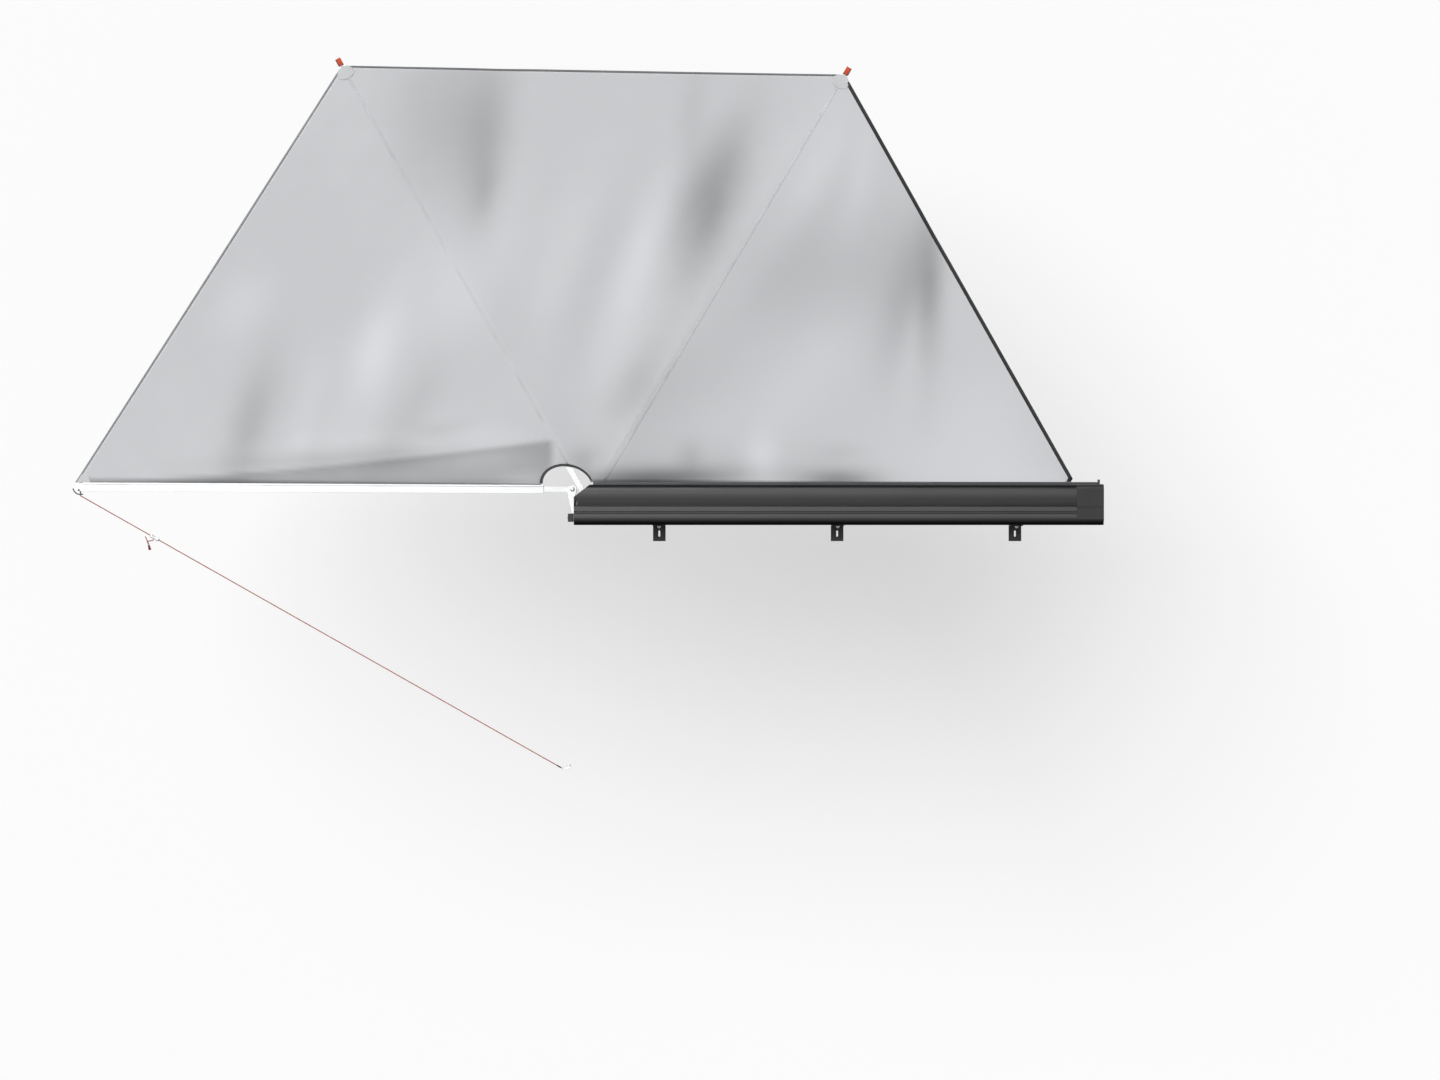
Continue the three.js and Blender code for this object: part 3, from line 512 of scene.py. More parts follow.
def dress(node: str, finish: "Finish", edge: float = 0.0004) -> None:
    """Gives a CAD node its finish and eases its sharp edges.

    Args:
        node: The node's name.
        finish: Its finish.
        edge: The width of its eased edges, or nought to leave them.
    """
    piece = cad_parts[node]
    for holder in piece.material_slots:
        holder.link = "OBJECT"
        holder.material = finish.material()
    if edge > 0:
        weld = piece.modifiers.new("joined", "WELD")
        weld.merge_threshold = WELD_REACH
        ease = piece.modifiers.new("eased_edges", "BEVEL")
        ease.width = edge
        ease.segments = 2
        ease.limit_method = "ANGLE"
        ease.angle_limit = EASED_ANGLE
        ease.harden_normals = False
    log.info("%s: kept from the frame in %s", node, finish.name)


# Finishes


WHOLE = (0.0, 1.0)
MOSTLY = (0.3, 0.7)
# The name of the point attribute that carries the cloth's painted light and shade.
PAINTED_SHADE_ATTRIBUTE = "painted_fold_shade"


class Nodes:
    """The nodes of a material or of the world, added one call at a time."""

    def __init__(self, tree: bpy.types.NodeTree) -> None:
        """Works on one tree of nodes."""
        self.tree = tree

    def add(self, kind: str, inputs: dict[str | int, object] | None = None, **settings: object) -> bpy.types.Node:
        """Adds a node.

        Args:
            kind: The node's type, without its ShaderNode prefix.
            inputs: Values or sockets for its inputs.
            settings: Its own properties.

        Returns:
            The node.
        """
        node = self.tree.nodes.new("ShaderNode" + kind)
        for key, value in settings.items():
            setattr(node, key, value)
        for key, value in (inputs or {}).items():
            if isinstance(value, Socket):
                self.tree.links.new(value, node.inputs[key])
            else:
                node.inputs[key].default_value = value
        return node

    def place(self, stretch: Point = (1.0, 1.0, 1.0), turn: float = 0.0, source: str = "Object") -> Socket:
        """A surface's own coordinates in metres, turned about Z by -turn degrees and then stretched.

        Args:
            stretch: The scale along each axis.
            turn: The direction of the grain in degrees.
            source: Object or UV.

        Returns:
            The coordinates.
        """
        start = self.add("TexCoord").outputs[source]
        flat = self.add("Mapping", {"Vector": start, "Rotation": (0.0, 0.0, math.radians(-turn))})
        return self.add("Mapping", {"Vector": flat.outputs[0], "Scale": stretch}).outputs[0]

    def lengths(self) -> tuple[Socket, Socket]:
        """The lengths along and across a surface in metres, from its UV map."""
        at = self.place(source="UV")
        return self.axis(at, "X"), self.axis(at, "Y")

    def noise(self, at: Socket, scale: float, detail: float = 3.0) -> Socket:
        """A soft noise from nought to one."""
        return self.add("TexNoise", {"Vector": at, "Scale": scale, "Detail": detail}).outputs[0]

    def cells(self, at: Socket, scale: float) -> Socket:
        """The distance to the nearest of many scattered points."""
        return self.add("TexVoronoi", {"Vector": at, "Scale": scale}).outputs["Distance"]

    def sum(self, kind: str, first: object, second: object = 0.0, third: object = 0.0) -> Socket:
        """One step of arithmetic on numbers."""
        return self.add("Math", {0: first, 1: second, 2: third}, operation=kind).outputs[0]

    def spread(
        self, value: Socket, source: tuple[float, float], target: tuple[object, object], **settings: object
    ) -> Socket:
        """Maps a number from one range to another and keeps it there."""
        inputs = {0: value, 1: source[0], 2: source[1], 3: target[0], 4: target[1]}
        return self.add("MapRange", inputs, **settings).outputs[0]

    def mix(self, share: Socket, first: object, second: object) -> Socket:
        """Goes from one colour to another."""
        ends = [end if isinstance(end, Socket) else (*end, 1.0) for end in (first, second)]
        return self.add("Mix", {0: share, 6: ends[0], 7: ends[1]}, data_type="RGBA").outputs[2]

    def scaled(self, colour: object, level: Socket) -> Socket:
        """A colour times a level."""
        return self.add("VectorMath", {0: colour, 3: level}, operation="SCALE").outputs[0]

    def tone(self) -> Socket:
        """The cloth's painted light and shade as its points carry it: nought where none is painted."""
        return self.add("Attribute", attribute_name=PAINTED_SHADE_ATTRIBUTE).outputs["Fac"]

    def axis(self, vector: Socket, name: str) -> Socket:
        """One axis of a vector."""
        return self.add("SeparateXYZ", {0: vector}).outputs[name]

    def stripes(self, value: Socket, period: float, share: float) -> Socket:
        """One on a stripe and nought between: fract(v / period) < share."""
        part = self.sum("FRACT", self.sum("DIVIDE", value, period))
        return self.sum("LESS_THAN", part, share)

    def waves(self, value: Socket, period: float) -> Socket:
        """A wave from nought to one: (1 + sin(2 pi v / period)) / 2."""
        swing = self.sum("SINE", self.sum("MULTIPLY", value, 2 * math.pi / period))
        return self.sum("MULTIPLY_ADD", swing, 0.5, 0.5)


class Wiring(Nodes):
    """A material's nodes and its shader."""

    def __init__(self, name: str) -> None:
        """Starts a material with its shader."""
        self.material = bpy.data.materials.new(name)
        self.material.use_nodes = True
        super().__init__(self.material.node_tree)
        self.shader = self.tree.nodes["Principled BSDF"]

    def join(self, socket: Socket, name: str) -> None:
        """Joins a socket to one of the shader's inputs."""
        self.tree.links.new(socket, self.shader.inputs[name])

    def plain(self, values: dict[str, object]) -> None:
        """Sets the shader's plain values."""
        for socket, value in values.items():
            self.shader.inputs[socket].default_value = value

    def relief(self, height: Socket, depth: float, strength: float = 1.0) -> None:
        """Stands the surface up by a height from nought to one, and adds to any relief it has."""
        inputs = {"Height": height, "Distance": depth, "Strength": strength}
        links = self.shader.inputs["Normal"].links
        if links:
            inputs["Normal"] = links[0].from_socket
        self.join(self.add("Bump", inputs).outputs[0], "Normal")


def shade(colour: Colour, factor: float) -> Colour:
    """A colour made lighter or darker by a factor."""
    return tuple(min(value * factor, 1.0) for value in colour)


@dataclass(frozen=True)
class Finish:
    """What a surface is made of: its colour, gloss and metal, and the detail that its nodes add."""

    name: str
    colour: Colour
    roughness: float = 0.5
    metal: float = 0.0
    sockets: tuple[tuple[str, float], ...] = ()

    def material(self) -> bpy.types.Material:
        """The finish's material, made once."""
        return bpy.data.materials.get(self.name) or self.wired()

    def wired(self) -> bpy.types.Material:
        """Makes the material with its plain values and its detail."""
        wiring = Wiring(self.name)
        wiring.plain({"Base Color": (*self.colour, 1.0), "Roughness": self.roughness, "Metallic": self.metal})
        wiring.plain(dict(self.sockets))
        self.detail(wiring)
        return wiring.material

    def detail(self, wiring: Wiring) -> None:
        """Adds the finish's own nodes."""
        raise NotImplementedError

    def mottle(self, wiring: Wiring, scale: float, low: float, high: float) -> Socket:
        """Varies the colour softly over the surface.

        Args:
            wiring: The material's nodes.
            scale: How fine the variation is.
            low: The darkest factor.
            high: The lightest factor.

        Returns:
            The varied colour.
        """
        soft = wiring.spread(wiring.noise(wiring.place(), scale, 5.0), MOSTLY, WHOLE)
        return wiring.mix(soft, shade(self.colour, low), shade(self.colour, high))

    def uneven(
        self, wiring: Wiring, value: Socket, below: float, above: float, source: tuple[float, float] = MOSTLY
    ) -> None:
        """Lets the roughness follow a noise.

        Args:
            wiring: The material's nodes.
            value: The noise.
            below: How far the roughness falls below its own value.
            above: How far it rises above it.
            source: The noise's range.
        """
        wiring.join(wiring.spread(value, source, (self.roughness - below, self.roughness + above)), "Roughness")


@dataclass(frozen=True)
class PowderCoat(Finish):
    """Baked powder on alloy or steel: a fine orange-peel grain, faint rubs, and bands of painted shade across it."""

    grain: float = 900.0
    grain_depth: float = 0.00005
    rubs: float = 0.12
    rub_stretch: Point = (0.6, 9.0, 9.0)
    rub_scale: float = 7.0
    rub_shade: float = 2.4
    gloss: float = 0.5
    shade_bands: tuple[tuple[float, float, float], ...] = ()

    def detail(self, wiring: Wiring) -> None:
        """Grain, soft mottling, long faint rubs, a roughness that follows them, and bands of painted shade across the
        case.

        Each band of painted shade is its middle across the case, half its width, and how much of the colour and gloss
        it takes away; the bands darken the grooves and edges where shade falls and dim a highlight.
        """
        grain = wiring.noise(wiring.place(), self.grain, 2.0)
        rubs = wiring.noise(wiring.place(self.rub_stretch), self.rub_scale, 6.0)
        rubbed = wiring.spread(rubs, (0.52, 0.72), (0.0, self.rubs))
        colour = wiring.mix(rubbed, self.mottle(wiring, 5.0, 0.88, 1.12), shade(self.colour, self.rub_shade))
        # Painted shade: each band darkens the colour and the gloss across the case, standing in for the shade in its
        # grooves and at its edges.
        if self.shade_bands:
            across = wiring.axis(wiring.place(), "Y")
            shaded_gloss = self.gloss
            for middle, half, loss in self.shade_bands:
                away = wiring.sum("ABSOLUTE", wiring.sum("SUBTRACT", across, middle))
                left = wiring.spread(away, (half * 0.4, half * 1.6), (1 - loss, 1.0))
                shaded_gloss = wiring.sum("MULTIPLY", shaded_gloss, left)
                colour = wiring.scaled(colour, left)
            wiring.join(shaded_gloss, "Specular IOR Level")
        wiring.join(colour, "Base Color")
        self.uneven(wiring, rubs, 0.07, 0.07, (0.3, 0.75))
        wiring.relief(grain, self.grain_depth, 0.55)


@dataclass(frozen=True)
class MouldedPlastic(Finish):
    """Injection-moulded plastic with a spark-eroded grain."""

    grain: float = 1500.0
    grain_depth: float = 0.00004
    cloud_scale: float = 14.0

    def detail(self, wiring: Wiring) -> None:
        """A pebbled grain and slightly uneven gloss."""
        pebble = wiring.cells(wiring.place(), self.grain)
        cloud = wiring.noise(wiring.place(), self.cloud_scale, 4.0)
        wiring.join(self.mottle(wiring, 9.0, 0.86, 1.14), "Base Color")
        self.uneven(wiring, cloud, 0.06, 0.08)
        wiring.relief(pebble, self.grain_depth, 0.6)


@dataclass(frozen=True)
class DrawnAlloy(Finish):
    """Anodised alloy with the fine die lines of an extrusion, running along its grain."""

    grain_turn: float = 0.0
    line_stretch: Point = (1.5, 900.0, 900.0)
    line_depth: float = 0.00002
    mark_stretch: Point = (3.0, 22.0, 22.0)

    def detail(self, wiring: Wiring) -> None:
        """Die lines in colour, gloss and height, and a few handling marks."""
        lines = wiring.noise(wiring.place(self.line_stretch, self.grain_turn), 1.0, 4.0)
        marks = wiring.noise(wiring.place(self.mark_stretch, self.grain_turn), 2.0, 6.0)
        bands = wiring.spread(lines, MOSTLY, WHOLE)
        colour = wiring.mix(bands, shade(self.colour, 0.95), shade(self.colour, 1.02))
        worn = wiring.spread(marks, (0.56, 0.7), (0.0, 0.35))
        wiring.join(wiring.mix(worn, colour, shade(self.colour, 0.86)), "Base Color")
        self.uneven(wiring, marks, 0.05, 0.1)
        wiring.relief(lines, self.line_depth, 0.35)


@dataclass(frozen=True)
class BlastedAlloy(Finish):
    """Milled and blasted alloy plate: a dull even grain with small pits."""

    blast: float = 1600.0
    pits: float = 260.0
    depth: float = 0.00003

    def detail(self, wiring: Wiring) -> None:
        """A blasted grain, sparse pits and soft stains."""
        blast = wiring.noise(wiring.place(), self.blast, 2.0)
        pits = wiring.spread(wiring.cells(wiring.place(), self.pits), (0.0, 0.16), WHOLE)
        wiring.join(self.mottle(wiring, 22.0, 0.93, 1.03), "Base Color")
        cloud = wiring.noise(wiring.place(), 30.0, 5.0)
        self.uneven(wiring, cloud, 0.06, 0.08)
        wiring.relief(blast, self.depth, 0.4)
        wiring.relief(pits, self.depth, 0.3)


@dataclass(frozen=True)
class PlatedSteel(Finish):
    """Turned and plated steel: fine tool rings, with a faint yellow and blue cast in the plating."""

    cast: Colour = (0.62, 0.6, 0.52)
    cast_scale: float = 60.0
    ring_stretch: Point = (900.0, 900.0, 60.0)
    ring_depth: float = 0.00002

    def detail(self, wiring: Wiring) -> None:
        """Tool rings and a drifting cast."""
        cast = wiring.spread(wiring.noise(wiring.place(), self.cast_scale, 4.0), (0.42, 0.68), (0.0, 0.7))
        wiring.join(wiring.mix(cast, self.colour, self.cast), "Base Color")
        rings = wiring.noise(wiring.place(self.ring_stretch), 1.0, 3.0)
        self.uneven(wiring, rings, 0.08, 0.1)
        wiring.relief(rings, self.ring_depth, 0.3)


@dataclass(frozen=True)
class Ripstop(Finish):
    """Coated cloth: a fine plain weave with a thicker thread at each step of its grid, a soft random variation, and
    painted light and shade carried on its points.
    """

    thread: float = 0.00055
    thread_depth: float = 0.00004
    grid: float = 0.0055
    grid_share: float = 0.12
    grid_depth: float = 0.00006
    grid_tone: float = -0.012
    cloud_scale: float = 2.2
    cloud_tone: float = 0.018
    takes_painted_shade: bool = True

    def detail(self, wiring: Wiring) -> None:
        """Weave, ripstop grid, the painted light and shade carried on the points, and the coating's uneven gloss."""
        at = wiring.place()
        x, y = wiring.axis(at, "X"), wiring.axis(at, "Y")
        weave = wiring.sum("MULTIPLY", wiring.waves(x, self.thread), wiring.waves(y, self.thread))
        rows = [wiring.stripes(axis, self.grid, self.grid_share) for axis in (x, y)]
        lines = wiring.sum("MAXIMUM", *rows)
        cloud = wiring.spread(wiring.noise(at, self.cloud_scale, 5.0), MOSTLY, (-self.cloud_tone, self.cloud_tone))
        # Painted light and shade: the points' painted highlights and shade, the grid's darker threads and a soft random
        # cloud scale the colour.
        lift = wiring.sum("ADD", wiring.tone(), wiring.sum("MULTIPLY_ADD", lines, self.grid_tone, cloud))
        wiring.join(wiring.scaled(self.colour, wiring.sum("ADD", lift, 1.0)), "Base Color")
        self.uneven(wiring, wiring.noise(at, 9.0, 5.0), 0.04, 0.06)
        wiring.relief(weave, self.thread_depth, 0.35)
        wiring.relief(lines, self.grid_depth, 0.35)


@dataclass(frozen=True)
class Binding(Finish):
    """A woven tape sewn round an edge, with two rows of stitches along it."""

    thread_colour: Colour = (0.05, 0.05, 0.05)
    rows: tuple[float, ...] = (0.0025, 0.0075)
    row_half: float = 0.00045
    stitch: float = 0.0042
    stitch_share: float = 0.72
    stitch_depth: float = 0.0003
    rib: float = 0.0011
    rib_depth: float = 0.00012
    takes_painted_shade: bool = False

    def detail(self, wiring: Wiring) -> None:
        """A ribbed weave, dashes of thread at set distances from the tape's edge, and the cloth's painted light and
        shade if wanted.
        """
        u, v = wiring.lengths()
        ribs = wiring.waves(u, self.rib)
        dash = wiring.stripes(u, self.stitch, self.stitch_share)
        sewn = None
        for row in self.rows:
            near = wiring.sum("LESS_THAN", wiring.sum("ABSOLUTE", wiring.sum("SUBTRACT", v, row)), self.row_half)
            here = wiring.sum("MULTIPLY", near, dash)
            sewn = here if sewn is None else wiring.sum("MAXIMUM", sewn, here)
        colour = wiring.mix(sewn, self.mottle(wiring, 8.0, 0.9, 1.08), self.thread_colour)
        # Tapes that lie on the cloth take its painted light and shade.
        if self.takes_painted_shade:
            colour = wiring.scaled(colour, wiring.sum("ADD", wiring.tone(), 1.0))
        wiring.join(colour, "Base Color")
        wiring.relief(ribs, self.rib_depth, 0.5)
        wiring.relief(sewn, self.stitch_depth, 0.8)


@dataclass(frozen=True)
class Webbing(Finish):
    """Herringbone webbing in thick yarn."""

    yarn: float = 0.0021
    yarn_depth: float = 0.00035
    turn_back: float = 0.0042

    def detail(self, wiring: Wiring) -> None:
        """A slanting yarn that turns back at even steps across the webbing, with painted shade in its hollows and a
        painted highlight on its crowns.
        """
        u, v = wiring.lengths()
        fold = wiring.sum("PINGPONG", u, self.turn_back)
        slant = wiring.waves(wiring.sum("ADD", v, fold), self.yarn)
        # Painted shade and highlight: the colour follows the yarn's relief, darker in its hollows and lighter on its
        # crowns.
        colour = wiring.mix(slant, shade(self.colour, 0.72), shade(self.colour, 1.12))
        wiring.join(colour, "Base Color")
        wiring.relief(slant, self.yarn_depth, 0.7)


@dataclass(frozen=True)
class BraidedRope(Finish):
    """Braided polyester cord with a tracer yarn."""

    tracer: Colour = (0.82, 0.62, 0.55)
    tracer_share: float = 0.14
    pitch: float = 0.009
    round_length: float = 0.0157
    strands: float = 4.0
    strand_depth: float = 0.0003

    def detail(self, wiring: Wiring) -> None:
        """Two sets of strands that cross, with painted shade between them, and a pale tracer on one strand of one set.
        """
        u, v = wiring.lengths()
        round_share = wiring.sum("DIVIDE", u, self.round_length)
        run = wiring.sum("DIVIDE", v, self.pitch)
        ridges = []
        for way in ("ADD", "SUBTRACT"):
            across = wiring.sum("FRACT", wiring.sum("MULTIPLY", wiring.sum(way, run, round_share), self.strands))
            ridges.append(wiring.sum("PINGPONG", across, 0.5))
        crown = wiring.sum("MULTIPLY", *ridges)
        height = wiring.spread(crown, (0.0, 0.2), WHOLE)
        turn = wiring.sum("FRACT", wiring.sum("ADD", run, round_share))
        traced = wiring.sum("MULTIPLY", wiring.sum("LESS_THAN", turn, self.tracer_share), 0.75)
        # Painted shade: the colour falls to 0.55 where the strands' relief is low.
        base = wiring.mix(height, shade(self.colour, 0.55), self.colour)
        wiring.join(wiring.mix(traced, base, self.tracer), "Base Color")
        wiring.relief(height, self.strand_depth, 0.8)


@dataclass(frozen=True)
class Hide(Finish):
    """Grained leather with painted shade in its creases."""

    grain: float = 900.0
    grain_depth: float = 0.00015

    def detail(self, wiring: Wiring) -> None:
        """Pebbled grain with painted shade in its valleys."""
        pebble = wiring.spread(wiring.cells(wiring.place(), self.grain), (0.0, 0.6), WHOLE)
        # Painted shade: the colour darkens where the grain's relief is low.
        wiring.join(wiring.mix(pebble, shade(self.colour, 0.6), self.mottle(wiring, 90.0, 0.85, 1.15)), "Base Color")
        wiring.relief(pebble, self.grain_depth, 0.6)


@dataclass(frozen=True)
class Vinyl(Finish):
    """Coated flap cloth: a coarse weave under a leathery coating."""

    weave: float = 0.0012
    weave_depth: float = 0.0001
    skin: float = 700.0
    skin_depth: float = 0.00005
    rub_stretch: Point = (3.0, 30.0, 30.0)
    rub_shade: float = 2.2

    def detail(self, wiring: Wiring) -> None:
        """A woven ground seen through the coating, the coating's own grain, and lighter rubs."""
        u, v = wiring.lengths()
        weave = wiring.sum("MULTIPLY", wiring.waves(u, self.weave), wiring.waves(v, self.weave))
        skin = wiring.cells(wiring.place(), self.skin)
        rub = wiring.spread(wiring.noise(wiring.place(self.rub_stretch), 3.0, 5.0), (0.55, 0.75), (0.0, 0.3))
        colour = wiring.mix(rub, self.mottle(wiring, 12.0, 0.85, 1.1), shade(self.colour, self.rub_shade))
        wiring.join(colour, "Base Color")
        wiring.relief(weave, self.weave_depth, 0.5)
        wiring.relief(skin, self.skin_depth, 0.4)


@dataclass(frozen=True)
class Rubber(Finish):
    """Moulded rubber with patches of dust."""

    grain: float = 1100.0
    grain_depth: float = 0.00006
    dust: Colour = (0.09, 0.085, 0.08)
    dust_scale: float = 45.0

    def detail(self, wiring: Wiring) -> None:
        """A fine grain and a bloom of dust."""
        dust = wiring.spread(wiring.noise(wiring.place(), self.dust_scale, 6.0), (0.5, 0.75), (0.0, 0.35))
        wiring.join(wiring.mix(dust, self.colour, self.dust), "Base Color")
        wiring.relief(wiring.noise(wiring.place(), self.grain, 2.0), self.grain_depth, 0.6)


@dataclass(frozen=True)
class SewingThread(Finish):
    """Twisted thread."""

    twist: float = 0.0006
    twist_depth: float = 0.0001

    def detail(self, wiring: Wiring) -> None:
        """A twist along each stitch, with painted shade in the twist's hollows."""
        twist = wiring.waves(wiring.sum("ADD", *wiring.lengths()), self.twist)
        # Painted shade: the colour darkens where the twist's relief is low.
        wiring.join(wiring.mix(twist, shade(self.colour, 0.6), self.colour), "Base Color")
        wiring.relief(twist, self.twist_depth, 0.5)


# Bands of painted shade across the case, in metres: middle, half width, and the share of colour and gloss taken away.
# They darken the front crest, the bend, the valley, the groove and the rear edge.
CASE_SHADE_BANDS = (
    (0.180, 0.011, 0.62),
    (0.115, 0.02, 0.22),
    (0.0945, 0.007, 0.25),
    (0.0585, 0.006, 0.35),
    (0.0, 0.0255, 0.85),
)
CASE_COAT = PowderCoat("case_powder_coat", (0.013, 0.0132, 0.0137), 0.34, gloss=0.95, shade_bands=CASE_SHADE_BANDS)
FITTING_COAT = PowderCoat("fitting_powder_coat", (0.014, 0.014, 0.0145), 0.5)
FITTING_PLASTIC = MouldedPlastic("moulded_fitting", (0.018, 0.0182, 0.0188), 0.42)
CLAMP_PLASTIC = MouldedPlastic("moulded_clamp", (0.02, 0.02, 0.021), 0.42)
RAIL_ALLOY = DrawnAlloy("drawn_rail", (0.08, 0.082, 0.085), 0.4, 0.9)
LEG_ALLOY = DrawnAlloy("drawn_leg", (0.86, 0.87, 0.88), 0.34, 1.0)
HUB_ALLOY = BlastedAlloy("milled_hub", (0.74, 0.745, 0.75), 0.42, 1.0)
CUT_ALLOY = BlastedAlloy("sawn_alloy", (0.8, 0.81, 0.82), 0.4, 1.0)
ZINC = PlatedSteel("plated_steel", (0.66, 0.66, 0.66), 0.3, 1.0)
BRIGHT_STEEL = PlatedSteel("bright_steel", (0.86, 0.86, 0.86), 0.2, 1.0, cast=(0.84, 0.83, 0.8))
DARK_STEEL = PlatedSteel("dark_steel", (0.09, 0.085, 0.085), 0.4, 0.8, cast=(0.12, 0.1, 0.09))
NYLON = MouldedPlastic("nylon_bush", (0.68, 0.66, 0.6), 0.45, grain=600.0)
FOOT_RUBBER = Rubber("foot_rubber", (0.016, 0.016, 0.016), 0.8)
FLAP_VINYL = Vinyl("flap_vinyl", (0.035, 0.036, 0.038), 0.6)
STRAP_WEB = Webbing("strap_webbing", (0.03, 0.03, 0.032), 0.75)
TAB_WEB = Webbing("tab_webbing", (0.62, 0.085, 0.035), 0.7)
CLOTH = Ripstop("canopy_ripstop", (0.575, 0.582, 0.6), 0.46, sockets=(("Sheen Weight", 0.08),))
GREY_BINDING = Binding("grey_binding", (0.2, 0.205, 0.215), 0.6)
BLACK_BINDING = Binding("black_binding", (0.012, 0.012, 0.013), 0.6, rows=(0.003, 0.013))
DARK_BINDING = Binding("cutout_binding", (0.034, 0.035, 0.038), 0.6, rows=(0.003, 0.009))
# The seam tape and the tip patches take the cloth's painted light and shade, so they blend with it.
SEAM_TAPE = Binding(
    "seam_tape", (0.578, 0.585, 0.603), 0.46, thread_colour=(0.54, 0.547, 0.565), rows=(0.002, 0.01), takes_painted_shade=True
)
TIP_CLOTH = Binding(
    "tip_cloth", (0.59, 0.596, 0.612), 0.48, thread_colour=(0.56, 0.566, 0.58), rows=(0.004, 0.03), takes_painted_shade=True
)
PALE_BINDING = Binding("pale_binding", (0.33, 0.336, 0.35), 0.6)
ROPE = BraidedRope("braided_rope", (0.6, 0.1, 0.07), 0.7)
PULL_HIDE = Hide("pull_hide", (0.2, 0.02, 0.02), 0.6)
BLACK_THREAD = SewingThread("black_thread", (0.02, 0.02, 0.02), 0.7)


# Fasteners


@dataclass(frozen=True)
class Fastener:
    """A bolt or pin along its place's Z: a head at the top, a shank with thread, and a nut at the bottom."""

    shank: float
    head: float
    head_tall: float
    top: float
    bottom: float
    nut_flats: float
    nut_tall: float
    thread: float = 0.0012
    thread_out: float = 0.0022
    thread_more: float = 0.006
    socket: float = 0.5
    washer: float = 1.25
    washer_tall: float = 0.0012

    def parts(self, place: Place, count: int = 48) -> list[Patch]:
        """Its surfaces: a domed head with a six-sided socket, the shank and its thread, two washers and a nut.

        The head's dome is r cos a at height t sin a; the nut's sides are a hexagon cut by a cone at each face.

        Args:
            place: Where it goes, with its middle at the origin.
            count: How many points go round.

        Returns:
            The surfaces.
        """
        angle = np.radians(np.linspace(0, 78, 7))
        dome_at = self.top + self.washer_tall + self.head_tall * 0.9 * np.sin(angle)
        dome = np.stack([dome_at, self.head * (0.42 + 0.58 * np.cos(angle))])
        pit = six_sided(self.head * self.socket * 2, count)
        heights = [self.top, self.top + 0.0006, *dome[0], dome[0][-1], dome[0][-1] - self.head_tall * 0.6]
        rows = [np.full(count, value) for value in (self.head * 0.97, self.head, *dome[1])]
        radii = np.stack([*rows, np.minimum(pit, dome[1][-1] * 0.96), np.minimum(pit * 0.97, dome[1][-1] * 0.94)])
        head = turned(heights, radii, count)
        low, high = self.bottom, self.bottom + self.nut_tall
        turns = np.arange(int((self.nut_tall + self.thread_more) / self.thread) * 2)
        thread_at = low - self.thread_out + turns * self.thread / 2
        thread = turned(thread_at, self.shank * (0.98 - 0.13 * (turns % 2)), 24)
        shank = turned([high - 0.001, self.top + 0.001], [self.shank, self.shank], 32)
        parts = [head, nut(low, self.nut_tall, self.nut_flats, 1.07, count), thread, shank]
        ring = self.head * self.washer
        for base in (self.top - 0.0008, high - 0.0004):
            parts.append(barrel(base, base + self.washer_tall, ring, 0.0002, ring * 0.03, count))
        return [solid_round(place.put(points)) for points in parts]


def rivet(place: Place, radius: float, tall: float) -> Patch:
    """A domed rivet head on a face: r cos a at height t sin a.

    Args:
        place: The middle of its foot, with Z out of the face.
        radius: The head's radius.
        tall: Its height.

    Returns:
        Its surface.
    """
    angle = np.radians(np.linspace(0, 84, 7))
    heights = np.concatenate([[-0.0004], tall * np.sin(angle)])
    radii = np.concatenate([[radius], radius * np.cos(angle)])
    return solid_round(place.put(turned(heights, radii, 24)))


def stitch_run(start: Array, end: Array, up: Point, length: float, thick: float, lift: float) -> list[Patch]:
    """A row of stitches as short rounded bars from one point to another.

    Args:
        start: Where the row starts.
        end: Where it ends.
        up: The way out of the cloth.
        length: One stitch's length with its gap.
        thick: The thread's thickness.
        lift: How high the thread stands on the cloth.

    Returns:
        One surface for each stitch.
    """
    count = max(int(round(np.linalg.norm(end - start) / length)), 1)
    section = circle(thick / 2, 8)
    taper = np.array([0.25, 0.85, 1.0, 0.85, 0.25])
    parts = []
    for share in (np.arange(count) + 0.14) / count:
        run = np.linspace(share, share + 0.72 / count, 5)[:, None]
        path = start + (end - start) * run
        path = path + np.array(up) * (lift + thick * 0.25 * np.sin(np.linspace(0, math.pi, 5))[:, None])
        parts.append(solid_round(carried(section, path, up, taper)))
    return parts


# Sizes that the sub-assemblies share


class ArmName(Enum):
    """The three arms, from the one at the rear to the one nearest the case."""

    REAR = "d"
    MIDDLE = "a"
    FRONT = "b"


@dataclass(frozen=True)
class ArmSize:
    """Where an arm turns, which way it points, and how long it and its bare link are."""

    name: ArmName
    pivot: tuple[float, float]
    angle: float
    length: float
    link: float

    def place(self) -> Place:
        """The arm's own place: X out along it from its pivot."""
        turn = math.radians(self.angle)
        return Place((self.pivot[0], self.pivot[1], 0.0), (math.cos(turn), math.sin(turn), 0.0))

    def beside(self, out: Array | float, left: float) -> Array:
        """Points so far out along the arm and so far to its left, in plan."""
        turn = math.radians(self.angle)
        along, side = np.array([math.cos(turn), math.sin(turn)]), np.array([-math.sin(turn), math.cos(turn)])
        return np.array(self.pivot) + np.asarray(out, float)[..., None] * along + left * side

    def tip(self, left: float = 0.0) -> Array:
        """The arm's tip in plan."""
        return self.beside(self.length, left)


ARM_REAR = ArmSize(ArmName.REAR, (-1.258, 0.169), 179.7, 2.353, 0.137)
ARM_MIDDLE = ArmSize(ArmName.MIDDLE, (-1.192, 0.126), 119.5, 2.353, 0.182)
ARM_FRONT = ArmSize(ArmName.FRONT, (-1.180, 0.083), 59.4, 2.380, 0.137)
ARMS = (ARM_REAR, ARM_MIDDLE, ARM_FRONT)


# Studio


